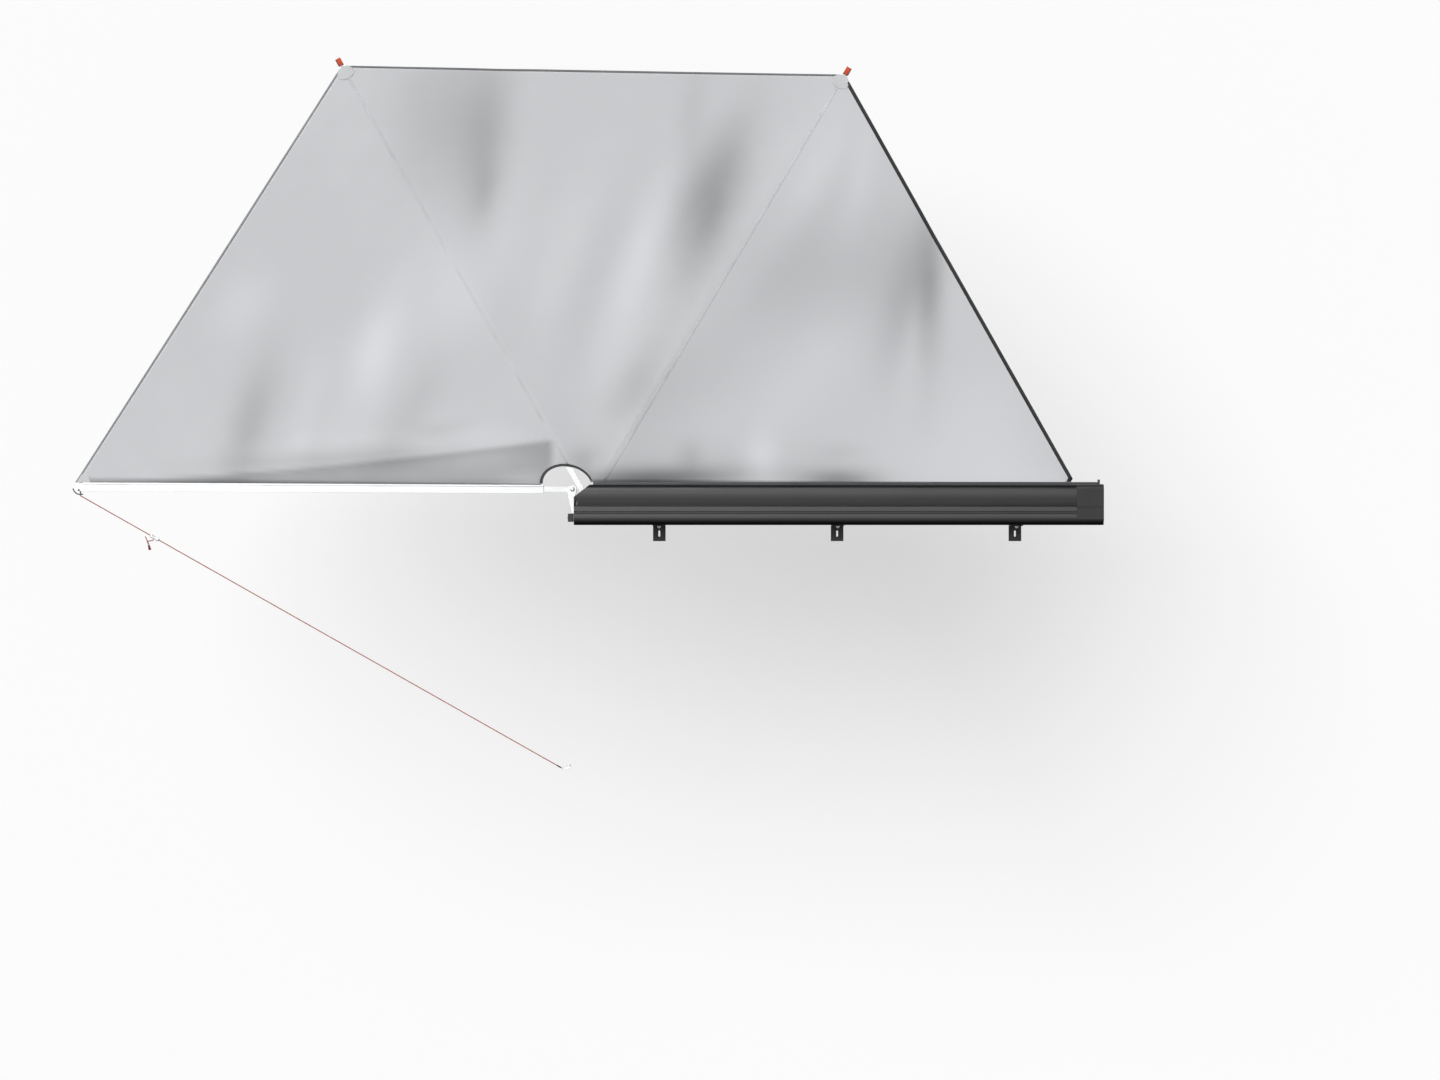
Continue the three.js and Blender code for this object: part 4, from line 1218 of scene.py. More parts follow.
@dataclass(frozen=True)
class Studio:
    """The camera above the awning, the soft light and the pale floor that the awning hangs over."""

    camera_at: Point = (-0.560, -0.0709, 13.0)
    camera_reach: float = 100.0
    lens: float = 68.55
    sensor: float = 36.0
    sun_from: Point = (-0.42, 0.5, 0.9)
    sun_strength: float = 2.3
    sun_angle: float = 48.0
    sky: float = 0.38
    softbox: Point = (-0.08, 0.03, 0.99)
    softbox_edge: tuple[float, float] = (0.76, 0.995)
    room: float = 0.1
    floor_height: float = -2.1
    floor_size: float = 40.0
    floor_colour: float = 0.55
    floor_roughness: float = 0.9
    floor_glow: float = 0.44

    def camera(self) -> None:
        """Sets up the camera, looking straight down with Y up the picture."""
        data = bpy.data.cameras.new("camera")
        data.lens = self.lens
        data.sensor_width = self.sensor
        data.clip_end = self.camera_reach
        camera = put_in("camera", data)
        camera.location = self.camera_at
        bpy.context.scene.camera = camera

    def light(self) -> None:
        """A wide soft sun from the upper left, a sky that looks white, and what shiny surfaces mirror."""
        data = bpy.data.lights.new("sun", "SUN")
        data.energy = self.sun_strength
        data.angle = math.radians(self.sun_angle)
        lamp = put_in("sun", data)
        lamp.rotation_euler = Vector(self.sun_from).to_track_quat("Z", "Y").to_euler()
        world = bpy.data.worlds.new("sky")
        world.use_nodes = True
        bpy.context.scene.world = world
        nodes = Nodes(world.node_tree)
        back = world.node_tree.nodes["Background"].inputs
        back["Color"].default_value = (1.0, 1.0, 1.0, 1.0)
        rays = nodes.add("LightPath").outputs
        seen = nodes.spread(self.seen_directly(nodes, rays), WHOLE, (self.sky, 1.0))
        mirrored = nodes.spread(rays["Is Glossy Ray"], WHOLE, (seen, self.box_light(nodes)))
        world.node_tree.links.new(mirrored, back["Strength"])

    def box_light(self, nodes: Nodes) -> Socket:
        """What shiny surfaces mirror: a wide soft box overhead in a dimmer room.

        Args:
            nodes: The world's nodes.

        Returns:
            Its strength, a smooth step of the direction's lean from the box's middle.
        """
        way = nodes.add("TexCoord").outputs["Generated"]
        lean = nodes.add("VectorMath", {0: way, 1: self.softbox}, operation="DOT_PRODUCT").outputs["Value"]
        return nodes.spread(lean, self.softbox_edge, (self.room, 1.0), interpolation_type="SMOOTHSTEP")

    @staticmethod
    def seen_directly(nodes: Nodes, rays: bpy.types.bpy_prop_collection) -> Socket:
        """One for the rays that show a thing itself: camera, glossy and transmission rays.

        Args:
            nodes: The nodes that it is added to.
            rays: The light path's outputs.

        Returns:
            The largest of the three.
        """
        first = nodes.sum("MAXIMUM", rays["Is Camera Ray"], rays["Is Glossy Ray"])
        return nodes.sum("MAXIMUM", first, rays["Is Transmission Ray"])

    def floor(self) -> None:
        """A flat pale floor that keeps the awning's soft shadow and is nearly white where it is lit."""
        half = self.floor_size / 2
        mesh = bpy.data.meshes.new("floor")
        corners = [(-half, -half), (half, -half), (half, half), (-half, half)]
        mesh.from_pydata([(x, y, self.floor_height) for x, y in corners], [], [(0, 1, 2, 3)])
        wiring = Wiring("floor")
        colour = (*(self.floor_colour,) * 3, 1.0)
        wiring.plain({"Base Color": colour, "Roughness": self.floor_roughness, "Specular IOR Level": 0.0})
        seen = self.seen_directly(wiring, wiring.add("LightPath").outputs)
        glow = wiring.add("Emission", {"Strength": wiring.sum("MULTIPLY", seen, self.floor_glow)})
        both = wiring.add("AddShader", {0: wiring.shader.outputs[0], 1: glow.outputs[0]})
        wiring.tree.links.new(both.outputs[0], wiring.tree.nodes["Material Output"].inputs["Surface"])
        mesh.materials.append(wiring.material)
        piece = put_in("floor", mesh)

    def build(self) -> None:
        """Sets up the camera, light and floor."""
        bpy.context.scene.view_settings.view_transform = "Standard"
        self.camera()
        self.light()
        self.floor()


# Guy line


@dataclass(frozen=True)
class GuyLine:
    """The red rope from the rear arm's tip to a snap hook, with its tensioner, its tail and the pull on that."""

    radius: float = 0.0025
    height: float = -0.030
    pin_inset: float = 0.012
    length: float = 2.62
    tail_length: float = 0.038
    route: tuple[Point, ...] = (
        (0.0, -0.0420, 0.0),
        (0.3765, -0.2573, -0.020),
        (0.7556, -0.4732, -0.032),
        (1.1365, -0.6892, -0.036),
        (1.5186, -0.9049, -0.032),
        (1.9011, -1.1199, -0.020),
        (2.2834, -1.3339, 0.0),
    )
    tail: tuple[Point, ...] = (
        (0.3435, -0.2483, -0.0185),
        (0.3412, -0.2524, -0.0185),
        (0.3335, -0.2554, -0.0185),
        (0.3230, -0.2562, -0.0185),
        (0.3165, -0.2596, -0.0185),
        (0.3176, -0.2664, -0.0185),
    )
    spare: tuple[Point, ...] = (
        (0.3145, -0.2650, -0.0185),
        (0.3128, -0.2560, -0.0185),
        (0.3085, -0.2445, -0.0185),
        (0.3034, -0.2355, -0.0190),
    )
    strands: int = 16
    tail_step: float = 0.0012
    grip_share: float = 0.154
    grip_length: float = 0.045
    grip_width: float = 0.017
    grip_tall: float = 0.012
    grip_neck: float = 0.16
    grip_bore: float = 1.24
    grip_pin: float = 0.012
    snap_length: float = 0.047
    snap_width: float = 0.020
    snap_wire: float = 0.004
    snap_turn: float = 40.0
    snap_slack: float = 0.0012
    hook_inner: float = 0.033
    hook_angles: tuple[float, float] = (190.0, 290.0)
    hook_band: float = 0.006
    hook_tall: float = 0.005
    pin_radius: float = 0.0043
    eye_wall: float = 0.004
    pull_length: float = 0.034
    pull_turn: float = 15.0
    pull_narrow: float = 0.005
    pull_wide: float = 0.014
    pull_thick: float = 0.006
    stud_inset: float = 0.0153
    stud_beside: float = 0.0155
    stud_height: float = 0.020
    stud_radius: float = 0.0052
    step: float = 0.0024

    def pin(self) -> Array:
        """The middle of the pin under the arm's tip, at the rope's height."""
        x, y = ARM_REAR.beside(ARM_REAR.length - self.pin_inset, 0.0)
        return np.array([x, y, self.height])

    def path(self, route: tuple[Point, ...], spacing: float) -> Array:
        """A route's curve in the awning's frame, at an even spacing."""
        return through(self.pin() + np.array(route), spacing)

    def carry(self, slot: str, *nodes: str) -> Carry:
        """What the line's pieces move with."""
        return Carry("guy_line", slot, nodes)

    def braid(self, path: Array) -> Array:
        """A tube with two crossing sets of strands: r (0.93 + 0.07 max(|cos(2a + k)|, |cos(2a - k)|)).

        Here a is the angle round the rope, and k grows by a seventh of half a turn at each point of the path.

        Args:
            path: Its centreline.

        Returns:
            The tube's points.
        """
        angle = np.linspace(0, 2 * math.pi, self.strands, endpoint=False)[None]
        run = np.arange(len(path))[:, None] * math.pi / 7
        crown = np.maximum(np.abs(np.cos(2 * (angle + run / 2))), np.abs(np.cos(2 * (angle - run / 2))))
        tube = carried(circle(1.0, self.strands), path, UPWARDS)
        reach = self.radius * (0.93 + 0.07 * crown)
        return path[:, None] + (tube - path[:, None]) * reach[..., None]

    def frame_at(self, path: Array, share: float) -> Place:
        """A place on the rope at a share of its length, with X along it."""
        at = int(round(share * (len(path) - 1)))
        ahead = path[min(at + 1, len(path) - 1)] - path[max(at - 1, 0)]
        return Place(tuple(path[at]), tuple(ahead))

    def rope(self) -> None:
        """The rope and its tail, with what is on them."""
        path = self.path(self.route, self.step)
        rope = make_piece("rope_run", [solid_round(self.braid(path))], ROPE, self.carry("guy_rope", "guy_rope"))
        grip, snap = self.grip(path), self.snap(path)
        line = self.path(self.tail, self.tail_step)
        tail = make_piece("rope_tail", [solid_round(self.braid(line))], ROPE, self.carry("guy_rope", "guy_tail"))
        spare = self.path(self.spare, self.tail_step)
        loose = make_piece("rope_spare", [solid_round(self.braid(spare))], ROPE, self.carry("guy_rope"))
        pull = [*self.pull(line), loose]

    def grip(self, path: Array) -> list[Object]:
        """The line tensioner: a waisted alloy bar with a bore for the rope and a cross pin.

        Its section swells to the full size at each end: 1 - neck cos^2(pi t / 2) with t from -1 to 1.

        Args:
            path: The rope's centreline.

        Returns:
            The bar and its pin.
        """
        place = self.frame_at(path, self.grip_share)
        t = np.linspace(-1, 1, 25)
        swell = (1 - self.grip_neck * np.cos(math.pi * t / 2) ** 2) * rounded_off(np.abs(t) - 0.86, 0.14, 0.55)
        outer = rounded_box(self.grip_width, self.grip_tall, 0.0035, 5)
        run = together(t * self.grip_length / 2, 0.0, 0.0)
        body = carried(outer, run, UPWARDS, swell)
        turn = np.arctan2(body[0, :, 2], body[0, :, 1])
        bore = together(0.0, np.cos(turn), np.sin(turn)) * self.radius * self.grip_bore
        shell = hollow_round(place.put(np.concatenate([body, run[::-1, None] + bore[None]])))
        bar = make_piece("line_tensioner", [shell], BRIGHT_STEEL, self.carry("bright_steel", "guy_tensioner"))
        half = self.grip_width / 2
        pins = []
        for side in (-1, 1):
            foot = place.at(self.grip_pin, side * (half * 0.9), 0.0)
            pins.append(rivet(Place(foot, place.along, tuple(place.axes()[1] * side)), 0.0026, 0.0016))
        pin = make_piece("tensioner_pin", pins, ZINC, self.carry("bright_steel"))
        return [bar, pin]

    def snap(self, path: Array) -> list[Object]:
        """The snap hook: an oval of wire with a sprung gate along one side and a knuckle at its end.

        Args:
            path: The rope's centreline.

        Returns:
            The hook, its gate and the bound rope end.
        """
        rope_end = self.frame_at(path, 1.0)
        turn = math.radians(self.snap_turn)
        along = rope_end.axes()[0] * math.cos(turn) + rope_end.axes()[1] * math.sin(turn)
        place = Place(rope_end.origin, tuple(along))
        wire = self.snap_wire / 2
        straight = (self.snap_length - self.snap_width) / 2
        bend = self.snap_width / 2 - wire
        middle = self.snap_length / 2 + self.snap_slack
        oval = np.concatenate(
            [
                arc((middle + straight, 0), bend, -90, 90, 17),
                together(np.linspace(middle + straight, middle - straight, 10)[1:-1], bend),
                arc((middle - straight, 0), bend, 90, 270, 17),
                together(np.linspace(middle - straight, middle + straight, 10)[1:-1], -bend),
            ]
        )
        ring = together(oval[:, 0], oval[:, 1], 0.0)
        hook = hollow_round(place.put(carried(circle(wire, 16), ring, UPWARDS, closed=True)))
        hoop = make_piece("snap_hook", [hook], BRIGHT_STEEL, self.carry("bright_steel", "guy_snap_hook"))
        run = np.linspace(-0.8, 0.95, 9)
        gate_line = together(middle + run * straight, bend - 0.0009 * (1 - run), 0.0)
        gate = carried(rounded_box(0.0042, 0.0046, 0.0012), gate_line, UPWARDS)
        knuckle = Place(place.at(middle - straight * 0.8, bend, -0.0026), place.along)
        pin = barrel(0.0, 0.0052, 0.0015, 0.0003, 0.0003, 20)
        parts = [solid_round(place.put(gate)), solid_round(knuckle.put(pin))]
        catch = make_piece("snap_gate", parts, ZINC, self.carry("bright_steel"))
        bound = np.linspace(-0.022, -0.001, 30)
        band = self.radius * (1.22 + 0.05 * np.sin(np.arange(30) * math.pi / 1.5))
        whipping = turned(bound, band, 20)
        axis = Place(rope_end.origin, tuple(rope_end.axes()[2]), rope_end.along)
        end = make_piece("rope_whipping", [solid_round(axis.put(whipping))], BLACK_THREAD, self.carry("guy_rope"))
        return [hoop, catch, end]

    def pull(self, line: Array) -> list[Object]:
        """The tapered leather pull at the tail's end, folded over a rivet.

        Args:
            line: The tail's centreline.

        Returns:
            The pull and its rivet.
        """
        end = line[-1]
        run = np.linspace(0, 1, 12)
        wide = (self.pull_narrow + (self.pull_wide - self.pull_narrow) * run) / self.pull_wide
        thick = 0.75 + 0.25 * np.sin(math.pi * np.clip(run * 1.1, 0, 1))
        ends = rounded_off(np.abs(run - 0.5) - 0.44, 0.06, 0.3)
        turn = math.radians(self.pull_turn)
        down = np.array([math.sin(turn), -math.cos(turn), 0.0])
        path = end + down * (0.0003 + run * self.pull_length)[:, None]
        section = rounded_box(self.pull_wide, self.pull_thick, 0.0018, 4)
        swell = together(wide * ends, thick * ends)
        body = carried(section, path, UPWARDS, swell)
        hide = make_piece("tail_pull", [solid_round(body)], PULL_HIDE, self.carry("pull_leather", "guy_pull"))
        x, y, z = end + down * 0.0085
        top = Place((x, y, z + self.pull_thick * 0.46))
        low = Place((x, y, z - self.pull_thick * 0.46), up=(0, 0, -1), along=(1, 0, 0))
        heads = [rivet(side, 0.0021, 0.0009) for side in (top, low)]
        return [hide, make_piece("pull_rivet", heads, ZINC, self.carry("pull_leather"))]

    def hook(self) -> None:
        """The curved hook under the arm's tip: a bow round its pin, an eye and the spoke that the rope is tied to."""
        pin = self.pin()
        place = Place(tuple(pin))
        ring = arc((0, 0), self.hook_inner + self.hook_band / 2, *self.hook_angles, 49)
        bow = together(ring[:, 0], ring[:, 1], 0.0)
        taper = np.interp(np.linspace(0, 1, 49), [0, 0.06, 0.94, 1], [0.55, 1.0, 1.0, 0.7])
        section = rounded_box(self.hook_band, self.hook_tall, 0.0015, 4)
        parts = [solid_round(place.put(carried(section, bow, UPWARDS, taper)))]
        start = self.path(self.route, self.step)[0] - pin
        reach = float(np.hypot(start[0], start[1])) - self.radius / 2
        aim = unit(np.array([start[0], start[1], 0.0]))
        from_eye = self.pin_radius + self.eye_wall * 0.6
        spoke = aim * np.linspace(from_eye, reach, 10)[:, None]
        parts.append(solid_round(place.put(carried(section, spoke, UPWARDS))))
        half = self.hook_tall / 2
        eye = pipe(-half, half, self.pin_radius + self.eye_wall, self.pin_radius, 0.0008)
        parts.append(hollow_round(place.put(np.roll(eye, 1, axis=0))))
        make_piece("tip_hook", parts, DARK_STEEL, self.carry("dark_steel", "guy_tip_hook"))
        x, y = ARM_REAR.beside(ARM_REAR.length - self.stud_inset, self.stud_beside)
        stud = rivet(Place((x, y, self.stud_height)), self.stud_radius, 0.0035)
        make_piece("tip_stud", [stud], DARK_STEEL, Carry("arm_d", "dark_steel"))

    def build(self) -> None:
        """Builds the whole line."""
        self.rope()
        self.hook()


# Case


@dataclass(frozen=True)
class Case:
    """The long extruded case with its caps, brackets, canopy rail and rolled closing flap."""

    length: float = 2.5
    depth: float = 0.193
    height: float = 0.150
    wall: float = 0.003
    corner: float = 0.018
    top: float = 0.0727
    front: float = 0.1907
    lip: float = 0.025
    crest: float = 0.027
    slope_from: float = 0.038
    slope_drop: float = 0.009
    plate_top: float = 0.0604
    seat: float = 0.0053
    seat_drop: float = 0.010
    bend_from: float = 0.150
    bend_to: float = 0.0935
    bend_drop: float = 0.007
    ramp_from: float = 0.0930
    ramp_to: float = 0.0855
    groove_at: float = 0.0585
    groove_wide: float = 0.012
    groove_deep: float = 0.0025
    groove_ramp: float = 0.0014
    chamfer_along: float = 0.078
    chamfer_across: float = 0.060
    cap_wall: float = 0.0043
    cut_edge: float = 0.0006
    roll_centre: tuple[float, float] = (0.0363, -0.0587)
    roll_size: tuple[float, float] = (0.042, 0.032)
    roll_span: tuple[float, float] = (-1.07, 1.2457)
    roll_turns: float = 4.0
    roll_steps: int = 40
    roll_thick: float = 0.0022
    roll_sway: float = 0.0007
    roll_width: float = 0.3
    strap_at: tuple[float, ...] = (-0.92, -0.30, 0.32, 0.94)
    bracket_at: tuple[float, ...] = (-0.85, 0.0, 0.85)
    slot_height: float = -0.038
    cap_screws_at: tuple[tuple[float, float], ...] = ((0.028, 0.052), (0.168, 0.052), (0.028, -0.056), (0.168, -0.056))
    plug_screws_at: tuple[tuple[float, float], ...] = ((0.0345, 0.02), (0.0345, -0.02))

    def top_height(self, y: Array) -> Array:
        """The outer height of the top across the case: a band bent down to a valley, a groove, and a bent rear edge.

        z = top - bend t^1.5 - groove g(y) - rear drop r^2, with t and r the shares of their slopes, g a smooth step,
        and the valley's far side a ramp back up to the top.

        Args:
            y: Places across the case.

        Returns:
            The height at each.
        """
        bend = self.bend_drop * np.clip((self.bend_from - y) / (self.bend_from - self.bend_to), 0, 1) ** 1.5
        bend = bend * smooth(self.ramp_to, self.ramp_from, y)
        half = self.groove_wide / 2
        groove = self.groove_deep * smooth(half, half - self.groove_ramp, np.abs(y - self.groove_at))
        slope = self.slope_drop * np.clip((self.slope_from - y) / self.slope_from, 0, 1) ** 2
        return self.top - bend - groove - slope

    def outline(self) -> Array:
        """The cover's closed section in Y and Z, outside from the front lip to the seat and back inside."""
        soft = 0.0008
        across = np.linspace(self.front - self.crest - 0.001, 0.0006, 170)
        corner = arc((0.0, 0.0), 1.0, 0, 90, 20) * np.array([self.crest, self.corner])
        outer_top = together(across, self.top_height(across))
        low = self.top - self.slope_drop
        outside = np.concatenate(
            [
                [[self.front - soft, self.lip], [self.front, self.lip + soft]],
                corner + np.array([self.front - self.crest, self.top - self.corner]),
                outer_top,
                [[0.0, low - 0.0006], [0.0, self.plate_top + 0.0003], [self.seat, self.plate_top + 0.0003]],
                [[self.seat, self.plate_top - self.seat_drop]],
                [[self.seat + self.wall, self.plate_top - self.seat_drop], [self.seat + self.wall, low - self.wall]],
            ]
        )
        inner = self.top - self.bend_drop - self.wall
        round_in = self.corner - self.wall
        inside = np.concatenate(
            [
                [[self.slope_from, inner]],
                arc((self.front - self.corner, inner - round_in), round_in, 90, 0, 12),
                [[self.front - self.wall, self.lip + soft], [self.front - self.wall + soft, self.lip]],
            ]
        )
        return np.concatenate([outside, inside])

    def mouth(self, y: Array) -> Array:
        """Where the cover starts along X: its end, cut back over the front corner so that the arms can swing.

        Args:
            y: Places across the case.

        Returns:
            The start at each.
        """
        back = (y - (self.depth - self.chamfer_across)) * self.chamfer_along / self.chamfer_across
        return -self.length / 2 + np.clip(back, 0, None)

    def cover(self) -> None:
        """The cover: its section carried from the slanting mouth to the front cap, and the bare sawn edge."""
        section = self.outline()
        start = self.mouth(section[:, 0]) + self.cut_edge
        end = self.length / 2 - self.cap_wall
        share = np.concatenate([[0.0, 0.0008], np.linspace(0.02, 0.98, 40), [1.0]])[:, None]
        x = start[None] + (end - start[None]) * share
        profile = np.broadcast_to(section[None], (len(share), *section.shape))
        points = np.concatenate([x[..., None], profile], axis=2)
        carry = Carry("case", "case_alloy", ("top_cover",))
        make_piece("cover_shell", [solid_round(points)], CASE_COAT, carry)
        cut = self.mouth(section[:, 0])
        rows = np.stack([cut, cut + self.cut_edge * 1.2])
        points = np.concatenate([rows[..., None], np.broadcast_to(section[None], (2, *section.shape))], axis=2)
        make_piece("cover_sawn_edge", [solid_round(points)], CUT_ALLOY, Carry("case", "case_alloy"))

    def kept(self) -> None:
        """The frame's own plate, caps, rail and brackets, with eased edges and their finishes."""
        caps = (("end_cap_front", FITTING_PLASTIC, 0.0008), ("end_cap_rear", FITTING_PLASTIC, 0.0012))
        brackets = [(f"rack_bracket_{number}", FITTING_COAT, 0.0008) for number in range(1, len(self.bracket_at) + 1)]
        # The back plate takes the case's coat, and with it the painted shade of the band along the rear edge.
        for node in (("back_plate", CASE_COAT, 0.0005), *caps, ("canopy_rail", RAIL_ALLOY, 0.0003), *brackets):
            dress(*node)

    def cap_screws(self) -> None:
        """Domed screws with a six-sided socket on the front cap's face, and two on the rear plug."""
        screw = Fastener(0.0025, 0.0048, 0.0024, 0.0, -0.012, 0.0001, 0.0002, washer=1.0)
        for name, x, way, spots in (
            ("front_cap_screws", self.length / 2 - 0.0002, 1, self.cap_screws_at),
            ("rear_plug_screws", -self.length / 2 - 0.0302, -1, self.plug_screws_at),
        ):
            parts = [screw.parts(Place((x, y, z), (0, 1, 0), (way, 0, 0)), 36)[0] for y, z in spots]
            make_piece(name, parts, ZINC, Carry("case", "plated_steel"))

    def bracket_bolts(self) -> None:
        """The slot bolts of the rack brackets: a square head in the slot, washer, thread and nut."""
        reach, turns = 0.004, np.arange(20)
        forms = (
            slab(rounded_box(0.015, 0.015, 0.001), -0.0103, -0.0053, 0.0006),
            turned([-0.0055, 0.0062], [reach, reach], 32),
            turned(0.0045 + turns * 0.0006, reach * (1 - 0.12 * (turns % 2)), 32),
            barrel(0.0046, 0.006, 0.009, 0.0002, 0.0002, 40),
            nut(0.006, 0.0055, 0.013, 1.08),
        )
        for number, x in enumerate(self.bracket_at, 1):
            place = Place((x, 0.0, self.slot_height), (1, 0, 0), (0, -1, 0))
            parts = [solid_round(place.put(points)) for points in forms]
            make_piece(f"slot_bolt_{number}", parts, ZINC, Carry("case", "plated_steel", (f"bracket_bolt_{number}",)))

    def roll(self) -> None:
        """The closing flap rolled up under the case: a spiral band of vinyl, held by four webbing straps.

        The band's middle line is r(a) = 0.32 + 0.68 a / turns of the roll's half sizes. It is drawn in a little at
        each strap.
        """
        angle = np.linspace(0, 2 * math.pi * self.roll_turns, int(self.roll_turns * self.roll_steps) + 1)
        reach = 0.32 + 0.68 * angle / angle[-1]
        half = np.array(self.roll_size) / 2
        line = together(np.cos(angle), np.sin(angle))
        outer = line * (reach[:, None] * half - 0.0001)
        inner = line * (reach[:, None] * half - self.roll_thick)
        section = np.concatenate([outer, inner[::-1]])
        x = np.linspace(*self.roll_span, 120)
        near = np.min(np.abs(x[:, None] - np.array(self.strap_at)[None]), axis=1)
        pinch = 1 - 0.05 * np.exp(-((near / 0.03) ** 2)) - 0.012 * (1 + np.sin(x * 23))
        sway = self.roll_sway * np.sin(x * 9.0)
        y = self.roll_centre[0] + section[None, :, 0] * pinch[:, None] + sway[:, None]
        z = self.roll_centre[1] + section[None, :, 1] * pinch[:, None]
        points = together(x[:, None], y, z)
        carry = Carry("case", "flap_vinyl", ("closing_flap",))
        roll = make_piece("flap_roll", [solid_round(points)], FLAP_VINYL, carry)
        straps = []
        run = np.array([-0.0125, -0.012, 0.012, 0.0125, 0.0125, 0.012, -0.012, -0.0125])
        grow = np.array([0.0004, 0.0014, 0.0014, 0.0004, 0.0, -0.0002, -0.0002, 0.0])
        loop = circle(1.0, 48)[None] * (half[None] * 0.952 + grow[:, None])[:, None]
        tall = self.roll_centre[1] + loop[..., 1]
        for at in self.strap_at:
            across = self.roll_centre[0] + loop[..., 0] + self.roll_sway * math.sin(at * 9.0)
            straps.append(hollow_round(together((at + run)[:, None], across, tall)))
        held = make_piece("flap_straps", straps, STRAP_WEB, Carry("case", "flap_vinyl"))

    def build(self) -> None:
        """Builds the whole case."""
        self.cover()
        self.kept()
        self.cap_screws()
        self.bracket_bolts()
        self.roll()


# Hub


@dataclass(frozen=True)
class Hub:
    """The two plates at the rear end that the arms turn between, with their pins and bolts."""

    reach: float = 0.0233
    pin: float = 0.006
    pin_head: float = 0.010
    pin_tall: float = 0.004
    pin_flats: float = 0.017
    bolt_at: tuple[tuple[float, float], ...] = ((-1.2257, 0.028), (-1.1457, 0.028))
    bolt: float = 0.004
    bolt_head: float = 0.0075
    bolt_tall: float = 0.005
    bolt_flats: float = 0.013

    def fastener(self, shank: float, head: float, tall: float, flats: float, **more: float) -> Fastener:
        """A bolt through both plates.

        Args:
            shank: Its shank's radius.
            head: Its head's radius.
            tall: How tall its head and its nut are.
            flats: Its nut's width across flats.
            more: Its socket and its washers' reach, as shares of the head.

        Returns:
            The bolt.
        """
        return Fastener(shank, head, tall, self.reach + 0.0008, -self.reach - tall - 0.001, flats, tall, **more)

    def build(self) -> None:
        """Dresses the plates and makes the pins and bolts."""
        dress("hub_plate_upper", HUB_ALLOY, 0.0007)
        dress("hub_plate_lower", HUB_ALLOY, 0.0007)
        pin = self.fastener(self.pin, self.pin_head, self.pin_tall, self.pin_flats, socket=0.32, washer=1.1)
        bolt = self.fastener(self.bolt, self.bolt_head, self.bolt_tall, self.bolt_flats, washer=1.2)
        spots = [(f"pivot_bolt_{arm.name.value}", f"pivot_pin_{arm.name.value}", pin, arm.pivot) for arm in ARMS]
        spots += [(f"plate_bolt_{number}", f"hub_bolt_{number}", bolt, at) for number, at in enumerate(self.bolt_at, 1)]
        for name, node, fastener, at in spots:
            make_piece(name, fastener.parts(Place((*at, 0.0))), ZINC, Carry("case", "plated_steel", (node,)))


# Arms and legs


